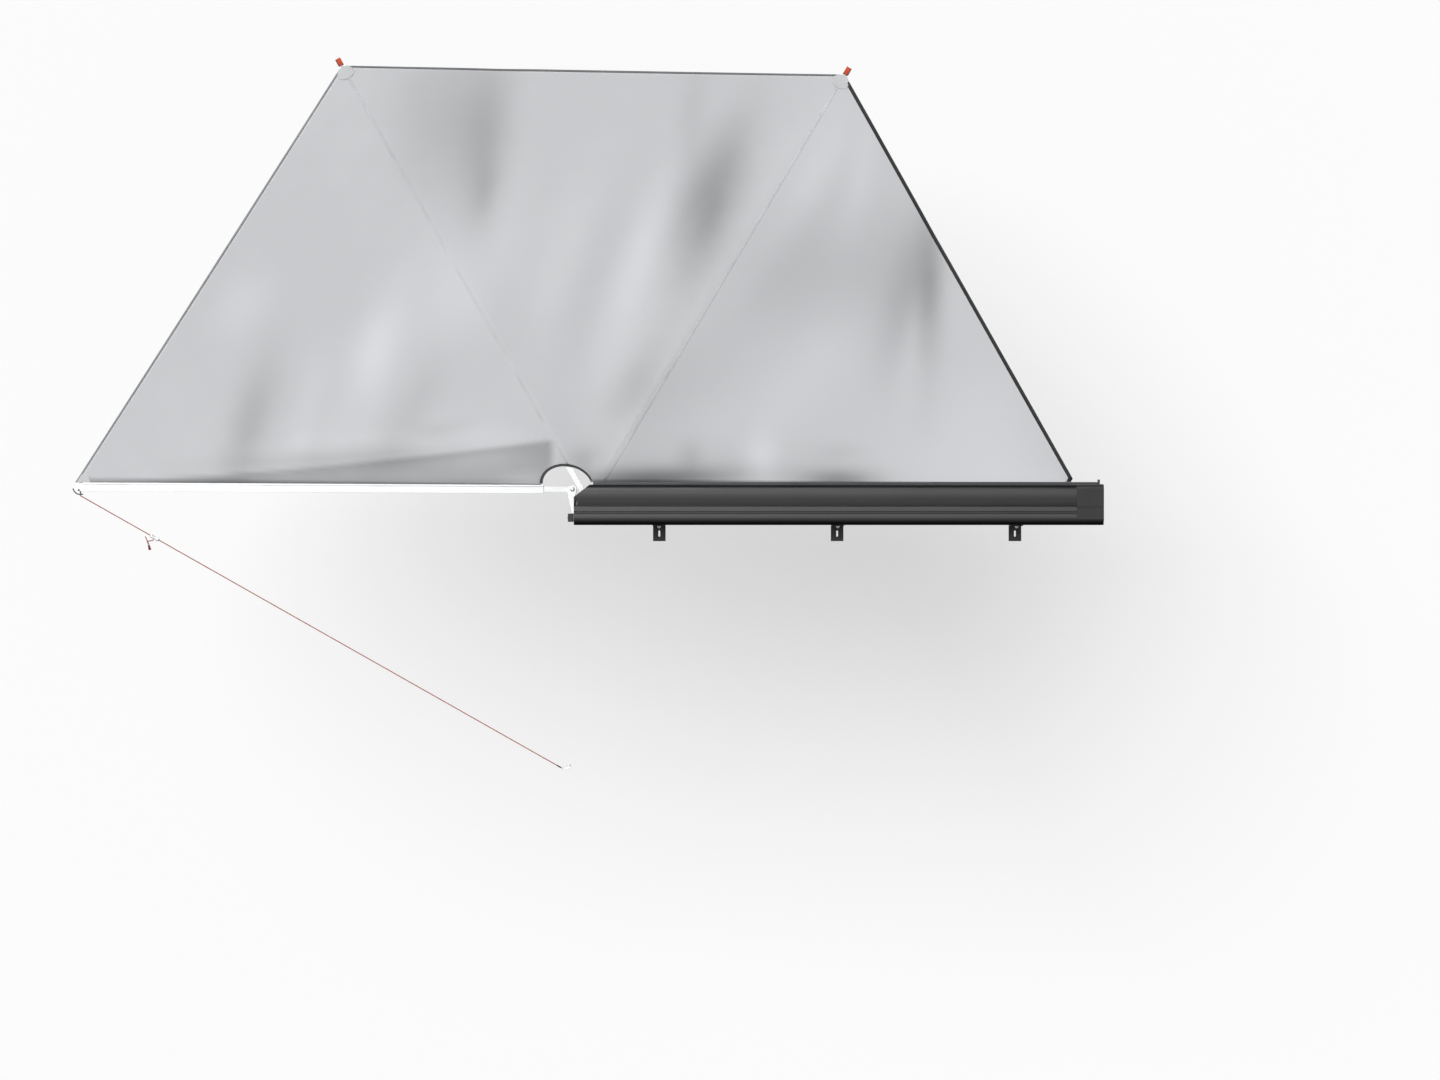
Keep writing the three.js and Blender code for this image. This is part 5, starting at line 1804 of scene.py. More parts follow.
@dataclass(frozen=True)
class Arm:
    """One arm: link, channel, tip, bush and rivets, and the straps and pull tab of all but the rear one."""

    size: ArmSize
    width: float = 0.040
    tip_length: float = 0.035
    tip_spigot: float = 0.020
    bush_inner: float = 0.0063
    bush_outer: float = 0.0078
    bush_reach: float = 0.0153
    bush_flange: tuple[float, float] = (0.00072, 0.001)
    rivet_radius: float = 0.0034
    rivet_tall: float = 0.0010
    rivet_past: tuple[float, ...] = (0.018, 0.044)
    rivet_height: float = 0.004
    strap_at: tuple[float, ...] = (0.34, 0.66, 0.98)
    strap_wide: float = 0.030
    strap_wall: float = 0.0011
    strap_top: float = 0.02035
    tab_reach: float = 0.041
    tab_wide: float = 0.024
    tab_height: float = 0.010
    tab_gap: float = 0.00095
    stitch: float = 0.0042
    thread: float = 0.0009

    def name(self) -> str:
        """The arm's letter."""
        return self.size.name.value

    def carry(self, slot: str, *nodes: str) -> Carry:
        """What the arm's pieces move with."""
        return Carry(f"arm_{self.name()}", slot, nodes)

    def frame(self) -> None:
        """The frame's own link, channel and tip, drawn or milled along the arm."""
        drawn = DrawnAlloy(f"drawn_arm_{self.name()}", (0.68, 0.685, 0.69), 0.36, 1.0, grain_turn=self.size.angle)
        for part, finish, edge in (("channel", drawn, 0.0005), ("link", drawn, 0.0008), ("tip", HUB_ALLOY, 0.0012)):
            dress(f"arm_{self.name()}_{part}", finish, edge)

    def bush(self) -> None:
        """The nylon bush in the link, with a thin flange at each end."""
        end, wide, bore, soft = self.bush_reach, self.bush_outer, self.bush_inner, 0.0003
        lip, flange = self.bush_flange[0], wide + self.bush_flange[1]
        heights = [-end, -end, lip - end, lip - end, end - lip, end - lip, end, end, end - soft, soft - end]
        radii = [bore + soft, flange, flange, wide, wide, flange, flange, bore + soft, bore, bore]
        form = hollow_round(self.size.place().put(turned(heights, radii, 40)))
        carry = self.carry("bush_nylon", f"arm_{self.name()}_bush")
        make_piece(f"arm_{self.name()}_hub_bush", [form], NYLON, carry)

    def rivets(self) -> None:
        """Domed rivets through the channel's sides at the link and at the tip."""
        place = self.size.place()
        side_axis = place.axes()[1]
        spots = [self.size.link + past for past in self.rivet_past]
        spots.append(self.size.length - self.tip_length - self.tip_spigot * 0.55)
        parts = []
        for out in spots:
            for side in (-1, 1):
                at = place.at(out, side * self.width / 2, self.rivet_height)
                foot = Place(at, place.along, tuple(side_axis * side))
                parts.append(rivet(foot, self.rivet_radius, self.rivet_tall))
        make_piece(f"arm_{self.name()}_rivets", parts, ZINC, self.carry("arm_alloy"))

    def straps(self) -> None:
        """Webbing loops that are sewn to the cloth and hold it down to the arm, where no leg folds."""
        place = self.size.place()
        outline = rounded_box(self.width + 0.0012, self.width + 0.0006, 0.002, 4) - np.array([0.0, 0.0003])
        half, wall, soft = self.strap_wide / 2, self.strap_wall, 0.0005
        along = np.array([-half, -half, soft - half, half - soft, half, half])
        loops = np.stack([inset(outline, -grow) for grow in (0.0, wall * 0.8, wall, wall, wall * 0.8, 0.0)])
        loops[..., 1] = np.minimum(loops[..., 1], self.strap_top)
        parts = []
        for at in self.strap_at:
            x = np.broadcast_to((at + along)[:, None, None], (*loops.shape[:2], 1))
            parts.append(hollow_round(place.put(np.concatenate([x, loops], axis=2))))
        make_piece(f"arm_{self.name()}_cloth_straps", parts, STRAP_WEB, self.carry("tab_webbing"))

    def tab(self) -> None:
        """The pull tab: webbing that goes out from the tip, folds back on itself and is sewn through."""
        place = self.size.place()
        out, gap = self.size.length + 0.0003, self.tab_gap
        end = out + self.tab_reach - 0.0015
        there = np.linspace(out, end, 10)
        line = np.concatenate(
            [
                together(there, self.tab_height + gap),
                arc((end, self.tab_height), gap, 90, -90, 9)[1:-1],
                together(there[::-1], self.tab_height - gap),
            ]
        )
        path = together(line[:, 0], 0.0, line[:, 1])
        tangent = unit(np.gradient(path, axis=0))
        normal = together(-tangent[:, 2], 0.0, tangent[:, 0])
        section = rounded_box(self.tab_wide, 0.0015, 0.0006, 3)
        points = path[:, None] + section[None, :, :1] * np.array([0, 1.0, 0]) + section[None, :, 1:] * normal[:, None]
        carry = self.carry("tab_webbing", f"pull_tab_{self.name()}")
        web = make_piece(f"tab_{self.name()}_webbing", [solid_round(place.put(points))], TAB_WEB, carry)
        sewn = []
        wide, top = self.tab_wide / 2 - 0.004, self.tab_height + gap + 0.0007
        box = [(out + 0.004, -wide), (out + 0.019, -wide), (out + 0.019, wide), (out + 0.004, wide)]
        lines = list(zip(box, box[1:] + box[:1])) + [(box[0], box[2]), (box[1], box[3])]
        up = tuple(place.axes()[2])
        for (x0, y0), (x1, y1) in lines:
            start, stop = place.put(np.array([x0, y0, top])), place.put(np.array([x1, y1, top]))
            sewn.extend(stitch_run(start, stop, up, self.stitch, self.thread, 0.0))
        thread = make_piece(f"tab_{self.name()}_stitches", sewn, BLACK_THREAD, self.carry("tab_webbing"))
        side = self.tab_wide / 2 * (1 if self.size.name is ArmName.MIDDLE else -1)
        foot = out + 0.0025
        edge = [(foot, -side), (foot, 0.5 * side), (foot + 0.001, 0.85 * side), (foot + 0.006, side), (end, side)]
        rim = through(np.array([(x, y, self.tab_height) for x, y in edge]), 0.0015)
        bound = solid_round(place.put(carried(rounded_box(0.004, 0.0052, 0.0012, 3), rim, UPWARDS)))
        tape = make_piece(f"tab_{self.name()}_edge", [bound], STRAP_WEB, self.carry("tab_webbing"))
        f"arm_{self.name()}_tip"

    def build(self) -> None:
        """Builds the arm."""
        self.frame()
        self.bush()
        self.rivets()
        if self.size.name is not ArmName.REAR:
            self.straps()
            self.tab()


@dataclass(frozen=True)
class Leg:
    """One telescopic leg, folded up inside its arm: tube, inner stage, clamp and lever, foot and pin."""

    arm: ArmSize
    inset_from_tip: float = 0.075
    radius: float = 0.0125
    wall: float = 0.0015
    tube_rim: float = 0.0004
    end: float = 0.012
    length: float = 1.150
    stage_radius: float = 0.0106
    stage_from: float = 0.130
    stage_to: float = 1.190
    clamp_from: float = 1.105
    clamp_to: float = 1.165
    clamp_radius: float = 0.015
    cheek_at: tuple[float, float] = (1.113, 1.129)
    cheek_half: float = 0.010
    slot_half: float = 0.0063
    lever_axis: tuple[float, float] = (1.121, -0.017)
    lever_top: float = -0.0134
    lever_length: float = 0.062
    lever_half: float = 0.006
    lever_thick: float = 0.006
    foot_from: float = 1.176
    foot_to: float = 1.215
    foot_radius: float = 0.016
    foot_rim: float = 0.003
    pin_radius: float = 0.004
    arm_half: float = 0.020

    def place(self) -> Place:
        """The leg's own place: X from its hinge to its foot, back along the arm."""
        arm = self.arm.place()
        back = tuple(-value for value in arm.along)
        return Place(arm.at(self.arm.length - self.inset_from_tip, 0.0, 0.0), back)

    def name(self) -> str:
        """The letter of the arm that it is in."""
        return self.arm.name.value

    def along(self, points: Array) -> Array:
        """Carries a form turned about Z into line with the leg."""
        place = self.place()
        return Place(place.origin, tuple(place.axes()[2] * -1), place.along).put(points)

    def carry(self, part: str, slot: str, *nodes: str) -> Carry:
        """What a piece of the leg moves with, and the nodes of this leg that it stands for."""
        return Carry(f"leg_{self.name()}_{part}", slot, tuple(f"leg_{self.name()}_{node}" for node in nodes))

    def piece(self, part: str, patches: list[Patch], finish: Finish, carry: Carry) -> None:
        """Makes a piece that is named for this leg."""
        make_piece(f"leg_{self.name()}_{part}", patches, finish, carry)

    def tubes(self) -> None:
        """The outer tube with a plug at its hinge end, and the inner stage."""
        inner = self.radius - self.wall
        tube = pipe(-self.end, self.length, self.radius, inner, self.tube_rim, 40)
        self.piece("outer_tube", [hollow_round(self.along(tube))], LEG_ALLOY, self.carry("upper", "leg_alloy", "tube"))
        angle = np.radians(np.linspace(0, 80, 6))
        heights = np.concatenate([[-self.end + 0.008, -self.end], -self.end - 0.0028 * np.sin(angle)])
        radii = np.concatenate([[inner, inner], (self.radius - 0.0002) * np.cos(angle) ** 0.4])
        plug = solid_round(self.along(turned(heights, radii, 40)))
        self.piece("tube_plug", [plug], CLAMP_PLASTIC, self.carry("upper", "clamp_plastic"))
        inner = self.stage_radius - self.wall
        stage = pipe(self.stage_from, self.stage_to, self.stage_radius, inner, self.tube_rim, 40)
        carry = self.carry("lower", "leg_alloy", "stage")
        self.piece("inner_tube", [hollow_round(self.along(stage))], LEG_ALLOY, carry)

    def clamp(self) -> None:
        """The clamp: a ribbed collar with two cheeks that hold the lever's pin."""
        at = np.linspace(self.clamp_from, self.clamp_to, 61)
        share = (at - at[0]) / (at[-1] - at[0])
        ends = rounded_off(np.abs(share - 0.5) - 0.46, 0.04, 0.18)
        ribs = 1 - 0.03 * (np.abs(np.sin(share * math.pi * 9)) < 0.35) * (share > 0.42)
        outer = self.clamp_radius * ends * ribs
        bore = [self.stage_radius + 0.0003, self.stage_radius + 0.0003, self.radius + 0.0002, self.radius + 0.0002]
        inner_at = [self.clamp_to, self.length + 0.0005, self.length + 0.0005, self.clamp_from]
        collar = turned([*at, *inner_at], [*outer, *bore], 48)
        parts = [hollow_round(self.along(collar))]
        place = self.place()
        for side in (-1, 1):
            middle = side * (self.slot_half + self.cheek_half) / 2
            thick = self.cheek_half - self.slot_half
            x0, x1 = self.cheek_at
            round_end = arc(((x0 + x1) / 2, self.lever_axis[1] + 0.004), (x1 - x0) / 2, 180, 360, 15)
            outline = np.concatenate([round_end, [[x1, -self.radius * 0.5], [x0, -self.radius * 0.5]]])
            form = slab(outline, middle - thick / 2, middle + thick / 2, 0.0008)
            points = together(form[..., 0], form[..., 2], form[..., 1])
            parts.append(solid_round(place.put(points)))
        self.piece("clamp_body", parts, CLAMP_PLASTIC, self.carry("upper", "clamp_plastic", "clamp"))

    def lever(self) -> None:
        """The cam lever: a blade that tapers and curls at its end, on a round barrel with a pin through it."""
        place = self.place()
        x, z = self.lever_axis
        t = np.linspace(0, 1, 24)
        curl = 0.0028 * smooth(0.72, 1.0, t)
        middle = self.lever_top - self.lever_thick / 2 - curl * 0.4
        path = together(x - t * (self.lever_length - 0.0006), 0.0, middle)
        wide = (1 - 0.14 * t) * rounded_off(t - 0.93, 0.07, 0.6)
        thick = (0.78 + 0.22 * np.cos(t * math.pi * 0.9) ** 2) * np.interp(t, [0, 0.7, 1], [1, 0.8, 0.62])
        section = rounded_box(2 * self.lever_half, self.lever_thick, 0.0016, 4)
        blade = carried(section, path, UPWARDS, together(wide, thick))
        parts = [solid_round(place.put(blade))]
        axle = Place(place.at(x, 0.0, z), place.along, tuple(place.axes()[1]))
        half = self.lever_half
        parts.append(solid_round(axle.put(barrel(-half, half, 0.0033, 0.0004, 0.0004, 28))))
        ends = np.array([0.4, 0.85, 1, 1, 1, 1, 1, 0.85, 0.4])
        across, low = np.linspace(-half * 0.7, half * 0.7, 9), self.lever_top - self.lever_thick * 0.86
        for rib in np.linspace(0.03, 0.05, 5):
            bar = together(x - rib, across, low)
            parts.append(solid_round(place.put(carried(circle(0.0008, 10), bar, UPWARDS, ends))))
        self.piece("cam_lever", parts, CLAMP_PLASTIC, self.carry("lock", "clamp_plastic", "lever"))
        end = self.cheek_half + 0.0003
        pin = barrel(-end, end, 0.0015, 0.0003, 0.0004, 20)
        self.piece("lever_pin", [solid_round(axle.put(pin))], ZINC, self.carry("lock", "plated_steel"))

    def foot(self) -> None:
        """The rubber foot: ribbed round its side, with a rounded rim and a dished sole."""
        t = np.linspace(0, 1, 49)
        at = self.foot_from + t * (self.foot_to - self.foot_from - self.foot_rim)
        ribs = 1 - 0.07 * (np.sin(t * math.pi * 11) > 0.2) * (t > 0.15) * (t < 0.86)
        flare = np.interp(t, [0, 0.1, 0.2, 1], [0.9, 0.93, 0.96, 1.0])
        angle = np.radians(np.linspace(0, 90, 8))
        rim = self.foot_radius - self.foot_rim + self.foot_rim * np.cos(angle)
        rim_at = self.foot_to - self.foot_rim + self.foot_rim * np.sin(angle)
        sole = [(self.foot_to - 0.0012, self.foot_radius * 0.55), (self.foot_to - 0.0014, 0.0008)]
        socket = self.stage_radius + 0.0002
        heights = [self.foot_from, *at, *rim_at, *[row[0] for row in sole]]
        radii = [socket, *(self.foot_radius * ribs * flare), *rim, *[row[1] for row in sole]]
        form = solid_round(self.along(turned(heights, radii, 48)))
        self.piece("rubber_foot", [form], FOOT_RUBBER, self.carry("lower", "foot_rubber", "foot"))

    def pin(self) -> None:
        """The hinge pin through the arm, with a domed head at each side."""
        place = self.place()
        side = place.axes()[1]
        across = Place(place.origin, place.along, tuple(side))
        shank = turned([-self.arm_half, self.arm_half], [self.pin_radius, self.pin_radius], 28)
        parts = [solid_round(across.put(shank))]
        for way in (-1, 1):
            foot = Place(place.at(0.0, way * self.arm_half, 0.0), place.along, tuple(side * way))
            parts.append(rivet(foot, 0.0062, 0.0012))
        self.piece("hinge_pin", parts, ZINC, Carry(f"arm_{self.name()}", "plated_steel", (f"leg_{self.name()}_pin",)))

    def build(self) -> None:
        """Builds the leg."""
        self.tubes()
        self.clamp()
        self.lever()
        self.foot()
        self.pin()


# Canopy


class Panel(Enum):
    """The three panels of the cloth, from the rear arm round to the rail."""

    REAR = 0
    MIDDLE = 1
    FRONT = 2


@dataclass(frozen=True)
class Fold:
    """A soft fold of the cloth, counted from the rear arm's pivot in arm lengths, with its turn in degrees.

    lift is its height as a share of the sag; the last number is the painted light, above nought, or painted shade,
    below nought, that the cloth carries along it.
    """

    at: tuple[float, float]
    across: float
    along: float
    turn: float
    lift: float = 0.0
    tone: float = 0.0


# Each row: where the fold is, how far it spreads across and along itself, its turn, its lift, and its painted light
# (above nought) or painted shade (below nought). Rows with nought lift are painted light and shade alone.
FOLDS = (
    ((-0.165, 0.681), 0.051, 0.178, 84, -0.57, -0.19),
    ((0.277, 0.601), 0.047, 0.14, 62, -0.81, -0.25),
    ((0.688, 0.38), 0.042, 0.14, 80, -0.71, -0.05),
    ((-0.477, 0.068), 0.023, 0.263, 4, 0.52, -0.15),
    ((0.407, 0.502), 0.047, 0.272, 52, 0.48, 0.0),
    ((0.003, 0.417), 0.068, 0.221, 70, 0.43, 0.0),
    ((-0.262, 0.75), 0.1, 0.17, 84, 0.0, -0.19),
    ((0.28, 0.54), 0.05, 0.17, 68, 0.0, -0.36),
    ((0.136, 0.47), 0.044, 0.16, 66, 0.0, 0.18),
    ((0.502, 0.68), 0.04, 0.15, 68, 0.0, 0.09),
    ((0.582, 0.64), 0.03, 0.12, 76, 0.0, 0.1),
    ((0.719, 0.4), 0.03, 0.15, 88, 0.0, -0.4),
    ((0.64, 0.44), 0.09, 0.14, 80, 0.0, -0.12),
    ((-0.207, 0.44), 0.08, 0.16, 62, 0.0, 0.13),
    ((-0.388, 0.29), 0.045, 0.15, 70, 0.0, 0.12),
    ((-0.669, 0.371), 0.05, 0.08, 45, 0.0, 0.11),
    ((-0.538, 0.155), 0.03, 0.12, 75, 0.0, 0.06),
    ((-0.649, 0.13), 0.042, 0.13, 74, 0.0, -0.26),
    ((-0.336, 0.14), 0.045, 0.13, 60, 0.0, -0.13),
    ((0.126, 0.21), 0.045, 0.12, 58, 0.0, -0.24),
    ((0.192, 0.18), 0.06, 0.17, 50, 0.0, -0.08),
    ((0.477, 0.24), 0.07, 0.17, 45, 0.0, 0.08),
    ((0.457, 0.44), 0.1, 0.15, 20, 0.0, -0.11),
    ((0.83, 0.12), 0.09, 0.15, 120, 0.0, 0.08),
    ((0.240, 0.743), 0.03, 0.13, 84, 0.0, -0.1),
    ((-0.178, 0.598), 0.025, 0.06, 80, 0.0, -0.11),
    ((-0.404, 0.290), 0.045, 0.09, 75, 0.0, 0.1),
    ((-0.186, 0.065), 0.022, 0.09, 4, 0.0, 0.13),
    ((-0.267, 0.119), 0.018, 0.06, 10, 0.0, -0.11),
    ((0.025, 0.063), 0.022, 0.04, 10, 0.0, -0.17),
    ((0.236, 0.069), 0.025, 0.03, 90, 0.0, -0.15),
    ((0.538, 0.075), 0.02, 0.05, 0, 0.0, -0.1),
    ((-0.076, 0.015), 0.022, 0.07, 0, 0.0, 0.3),
    ((0.156, 0.022), 0.026, 0.23, 3, 0.0, -0.34),
    ((0.165, 0.0165), 0.024, 0.17, 0, 0.0, -0.38),
    ((0.535, 0.0165), 0.026, 0.085, 0, 0.0, -0.58),
    ((0.381, 0.06), 0.035, 0.05, 90, 0.0, 0.19),
    ((0.26, 0.055), 0.05, 0.27, 3, 0.0, -0.1),
)


@dataclass(frozen=True)
class Canopy:
    """The cloth over the three arms, in one piece, with its bindings, seams, patches and edge beads.

    A point is given by fan, from 0 at the rear arm over 1 and 2 at the other arms to 3 at the rail, and by out,
    from 0 at the inner edge to 1 at the outer hem.
    """

    seat: float = 0.0203
    sag: float = 0.042
    shoulder: float = 0.026
    shoulder_most: float = 0.25
    hang: tuple[float, float, float] = (0.85, 0.8, 0.15)
    edge_lift: float = 0.0015
    cloth: float = 0.0007
    tape: float = 0.0004
    cad_cloth: float = 0.001
    cutout_at: tuple[float, float] = (-1.283, 0.189)
    cutout_size: tuple[float, float] = (0.116, 0.090)
    cutout_turns: tuple[float, float] = (176.0, 9.3)
    cutout_lean: float = 0.014
    seam_bend: float = 0.7
    rail_front: float = 0.2033
    rail_height: float = 0.031
    rail_hold: float = 8.0
    rail_from: tuple[float, float] = (1.6, 1.8)
    corner_x: float = 1.118
    blunt: float = 0.02
    side_offset: float = 0.0203
    start_out: float = 0.153
    corner_out: float = 2.353
    columns: tuple[int, int, int] = (64, 72, 64)
    rows: int = 110
    area: float = 7.7
    # The facet: a band of painted shade on the cloth along the rear arm, widening towards the hub.
    facet_inset: float = 0.017
    facet_reach: float = 2.24
    facet_rise: float = 0.012
    facet_wide: float = 0.2
    facet_bend: float = 1.45
    facet_soft: float = 0.016
    facet_end: tuple[float, float] = (-1.33, -1.38)
    facet_painted_shade: float = -0.41
    hem_wide: float = 0.009
    front_hem_wide: float = 0.019
    cutout_tape_wide: float = 0.013
    seam_wide: float = 0.012
    patch_reach: float = 0.075
    patch_wide: float = 0.62
    patch_round: tuple[float, float] = (0.55, 1.4)
    welt_radius: float = 0.0009
    welt_inset: tuple[float, float] = (0.0035, 0.0028)
    folds: tuple[Fold, ...] = tuple(Fold(*row) for row in FOLDS)

    def panel_sides(self, panel: Panel, share: Array) -> tuple[Array, Array]:
        """The inner and outer ends of a panel's lines, at shares from its rear side to its front side.

        Args:
            panel: Which panel.
            share: Shares of the panel's width.

        Returns:
            The inner points and the outer points, in plan.
        """
        share = np.asarray(share, float)[:, None]
        if panel is Panel.REAR:
            turn = self.cutout_turns[0] + (self.cutout_turn() - self.cutout_turns[0]) * share
            inner = np.where(share == 0, ARM_REAR.beside(self.start_out, -self.side_offset), self.cutout_point(turn))
            corner = ARM_REAR.beside(self.corner_out, -self.side_offset)
            return inner, corner + (ARM_MIDDLE.tip() - corner) * share
        if panel is Panel.MIDDLE:
            bend = self.seam_bend
            turn = self.cutout_turn() + (self.cutout_turns[1] - self.cutout_turn()) * np.minimum(share / bend, 1)
            lip = self.cutout_point(np.full_like(share, self.cutout_turns[1]))
            rail = lip + (self.rail_crossing() - lip) * np.clip((share - bend) / (1 - bend), 0, 1)
            inner = np.where(share > bend, rail, self.cutout_point(turn))
            return inner, ARM_MIDDLE.tip() + (ARM_FRONT.tip() - ARM_MIDDLE.tip()) * share
        corner = np.array([self.corner_x, self.rail_front])
        tip = ARM_FRONT.tip()
        hem_end = tip + (corner - tip) * (1 - self.blunt / ARM_FRONT.length)
        stop = np.array([self.corner_x - self.blunt, self.rail_front])
        inner = self.rail_crossing() + (stop - self.rail_crossing()) * share
        return inner, tip + (hem_end - tip) * share

    def cutout_point(self, turn: Array) -> Array:
        """Points round the cut-out, an ellipse that leans: x = width cos t - lean sin t, y = depth sin t."""
        angle = np.radians(turn)
        wide, deep = self.cutout_size
        ring = np.concatenate([wide * np.cos(angle) - self.cutout_lean * np.sin(angle), deep * np.sin(angle)], axis=-1)
        return np.array(self.cutout_at) + ring

    def cutout_turn(self) -> float:
        """The turn at which the middle arm leaves the cut-out: the larger root of |q| = 1 along the arm.

        q is a point upright and to scale: q = ((x + lean y / depth) / width, y / depth).
        """
        wide, deep = self.cutout_size
        upright = np.array([[1 / wide, self.cutout_lean / (wide * deep)], [0.0, 1 / deep]])
        start = upright @ (np.array(ARM_MIDDLE.pivot) - np.array(self.cutout_at))
        ahead = upright @ np.array(ARM_MIDDLE.place().along[:2])
        a, b, c = ahead @ ahead, 2 * start @ ahead, start @ start - 1
        at = start + ahead * (-b + math.sqrt(b * b - 4 * a * c)) / (2 * a)
        return math.degrees(math.atan2(at[1], at[0]))

    def rail_crossing(self) -> Array:
        """Where the front arm crosses the rail, in plan."""
        along = ARM_FRONT.place().along
        return ARM_FRONT.beside((self.rail_front - ARM_FRONT.pivot[1]) / along[1], 0.0)

    def fold_sums(self, flat: Array) -> tuple[Array, Array]:
        """The folds' height and painted light and shade at points in plan: sums of each fold's lift and of its painted
        amount, times exp(-u u - v v).

        Args:
            flat: The points.

        Returns:
            The height as a share of the sag, and the painted light and shade.
        """
        height, tone = np.zeros(flat.shape[:-1]), np.zeros(flat.shape[:-1])
        for fold in self.folds:
            angle = math.radians(fold.turn)
            x = (flat[..., 0] - ARM_REAR.pivot[0]) / ARM_REAR.length - fold.at[0]
            y = (flat[..., 1] - ARM_REAR.pivot[1]) / ARM_REAR.length - fold.at[1]
            u = (x * math.cos(angle) + y * math.sin(angle)) / fold.along
            v = (y * math.cos(angle) - x * math.sin(angle)) / fold.across
            bell = np.exp(-(u**2) - v**2)
            height, tone = height + fold.lift * bell, tone + fold.tone * bell
        return height, tone

    def panel_points(self, panel: Panel, share: Array, out: Array) -> Array:
        """Points of one panel's middle surface.

        z = seat + lift + sin(pi s) (folds - sag (0.85 sin(pi out^0.8) + 0.15 out)), with s the share between the
        arms' shoulders, and lift the rise to the rail or to the rear arm's groove.

        Args:
            panel: Which panel.
            share: Shares across the panel, one for each column.
            out: Shares outwards, a row for each or one for every point.

        Returns:
            A grid of points.
        """
        inner, outer = self.panel_sides(panel, share)
        out = np.asarray(out, float)
        out = np.broadcast_to(out[:, None], (len(out), len(share))) if out.ndim == 1 else out
        flat = inner[None] + (outer - inner)[None] * out[..., None]
        (near0, near1), (far0, far1) = self.panel_sides(panel, np.array([0.0, 1.0]))
        sides = (near0 - near1) + ((far0 - far1) - (near0 - near1)) * out[..., None]
        width = np.linalg.norm(sides, axis=-1)
        edge = np.minimum(self.shoulder / width, self.shoulder_most)
        across = np.broadcast_to(np.asarray(share, float)[None], out.shape)
        slack = np.sin(math.pi * np.clip((across - edge) / (1 - 2 * edge), 0, 1))
        most, power, rest = self.hang
        hang = most * np.sin(math.pi * np.clip(out, 0, 1) ** power) + rest * out
        lift = {
            Panel.REAR: self.edge_lift * (1 - across) ** 4,
            Panel.MIDDLE: (self.rail_height - self.seat) * (1 - out) ** 2 * across**2,
            Panel.FRONT: (self.rail_height - self.seat) * (1 - out) ** 2,
        }[panel]
        height = self.seat + self.cad_cloth / 2 + lift + slack * (self.fold_sums(flat)[0] * self.sag - self.sag * hang)
        return np.concatenate([flat, height[..., None]], axis=-1)

    def points(self, fan: Array, out: Array) -> Array:
        """Points of the whole cloth.

        Args:
            fan: One number for each column, from 0 to 3.
            out: One number for each row, or one for every point.

        Returns:
            A grid of points.
        """
        columns = []
        for number, value in enumerate(fan):
            panel = Panel(min(int(value), 2))
            own = out if np.ndim(out) == 1 else out[:, number : number + 1]
            columns.append(self.panel_points(panel, np.array([value - panel.value]), own))
        return np.concatenate(columns, axis=1)

    def turn_share(self, fan: Array, points: Array) -> Array:
        """How far each point follows the rear arm as the fan closes, from 0 at the rail to 1 at that arm.

        Each point turns by its own angle about the rear pivot, so the fan closes to a flat bundle. The arms' own
        angles differ from that by a distance, which is shared out across each panel. The edge on the rail stays put.

        Args:
            fan: One number for each column, from 0 to 3.
            points: The grid of points.

        Returns:
            One share for each point.
        """
        target = np.array([1.0, ARM_MIDDLE.angle / ARM_REAR.angle, ARM_FRONT.angle / ARM_REAR.angle, 0.0])
        low = np.minimum(np.asarray(fan).astype(int), 2)
        part = np.asarray(fan) - low
        out = self.out_of(fan, points)
        ends = self.points(np.array([0.0, 1.0, 2.0, 3.0]), out)
        off = (target[None] - self.own_share(ends)) * self.reach(ends)
        off = off[:, low] * (1 - part)[None] + off[:, low + 1] * part[None]
        free = 1 - ((1 - out) ** self.rail_hold)[:, None] * smooth(*self.rail_from, np.asarray(fan, float))[None]
        return (self.own_share(points) + off / self.reach(points)) * free

    def reach(self, points: Array) -> Array:
        """How far points lie from the rear pivot, in plan."""
        return np.linalg.norm(points[..., :2] - np.array(ARM_REAR.pivot), axis=-1)

    def own_share(self, points: Array) -> Array:
        """A point's angle about the rear pivot as a share of the rear arm's."""
        angle = np.arctan2(points[..., 1] - ARM_REAR.pivot[1], points[..., 0] - ARM_REAR.pivot[0])
        return np.degrees(np.where(angle < -math.pi / 2, angle + 2 * math.pi, angle)) / ARM_REAR.angle

    def out_of(self, fan: Array, points: Array) -> Array:
        """The mean share outwards of each row, from the points' reach between the inner edge and the hem."""
        ends = self.points(fan, np.array([0.0, 1.0]))
        span = np.linalg.norm(ends[1, :, :2] - ends[0, :, :2], axis=-1)
        reach = np.linalg.norm(points[..., :2] - ends[0][None, :, :2], axis=-1)
        return np.clip((reach / span[None]).mean(axis=1), 0, 1)

    def painted_shading(self, points: Array) -> Array:
        """The cloth's painted light and shade at each point: the folds', and painted shade on the facet that slopes
        from a ridge to the rear arm.
        """
        tone = self.fold_sums(points[..., :2])[1]
        start, edge = ARM_REAR.tip()[0] + self.facet_inset, ARM_REAR.pivot[1] + self.side_offset
        reach = np.clip((points[..., 0] - start) / self.facet_reach, 0, 1)
        ridge = edge + self.facet_rise + self.facet_wide * reach**self.facet_bend
        below = smooth(self.facet_soft, -self.facet_soft, points[..., 1] - ridge) * smooth(0.0, 0.25, reach)
        past = smooth(*self.facet_end, points[..., 0])
        return tone + self.facet_painted_shade * below * past

    def follow(self, piece: Object) -> None:
        """Bakes a piece of the canopy's placement into its points.

        Args:
            piece: The piece, in place and without a parent.
        """
        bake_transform(piece)

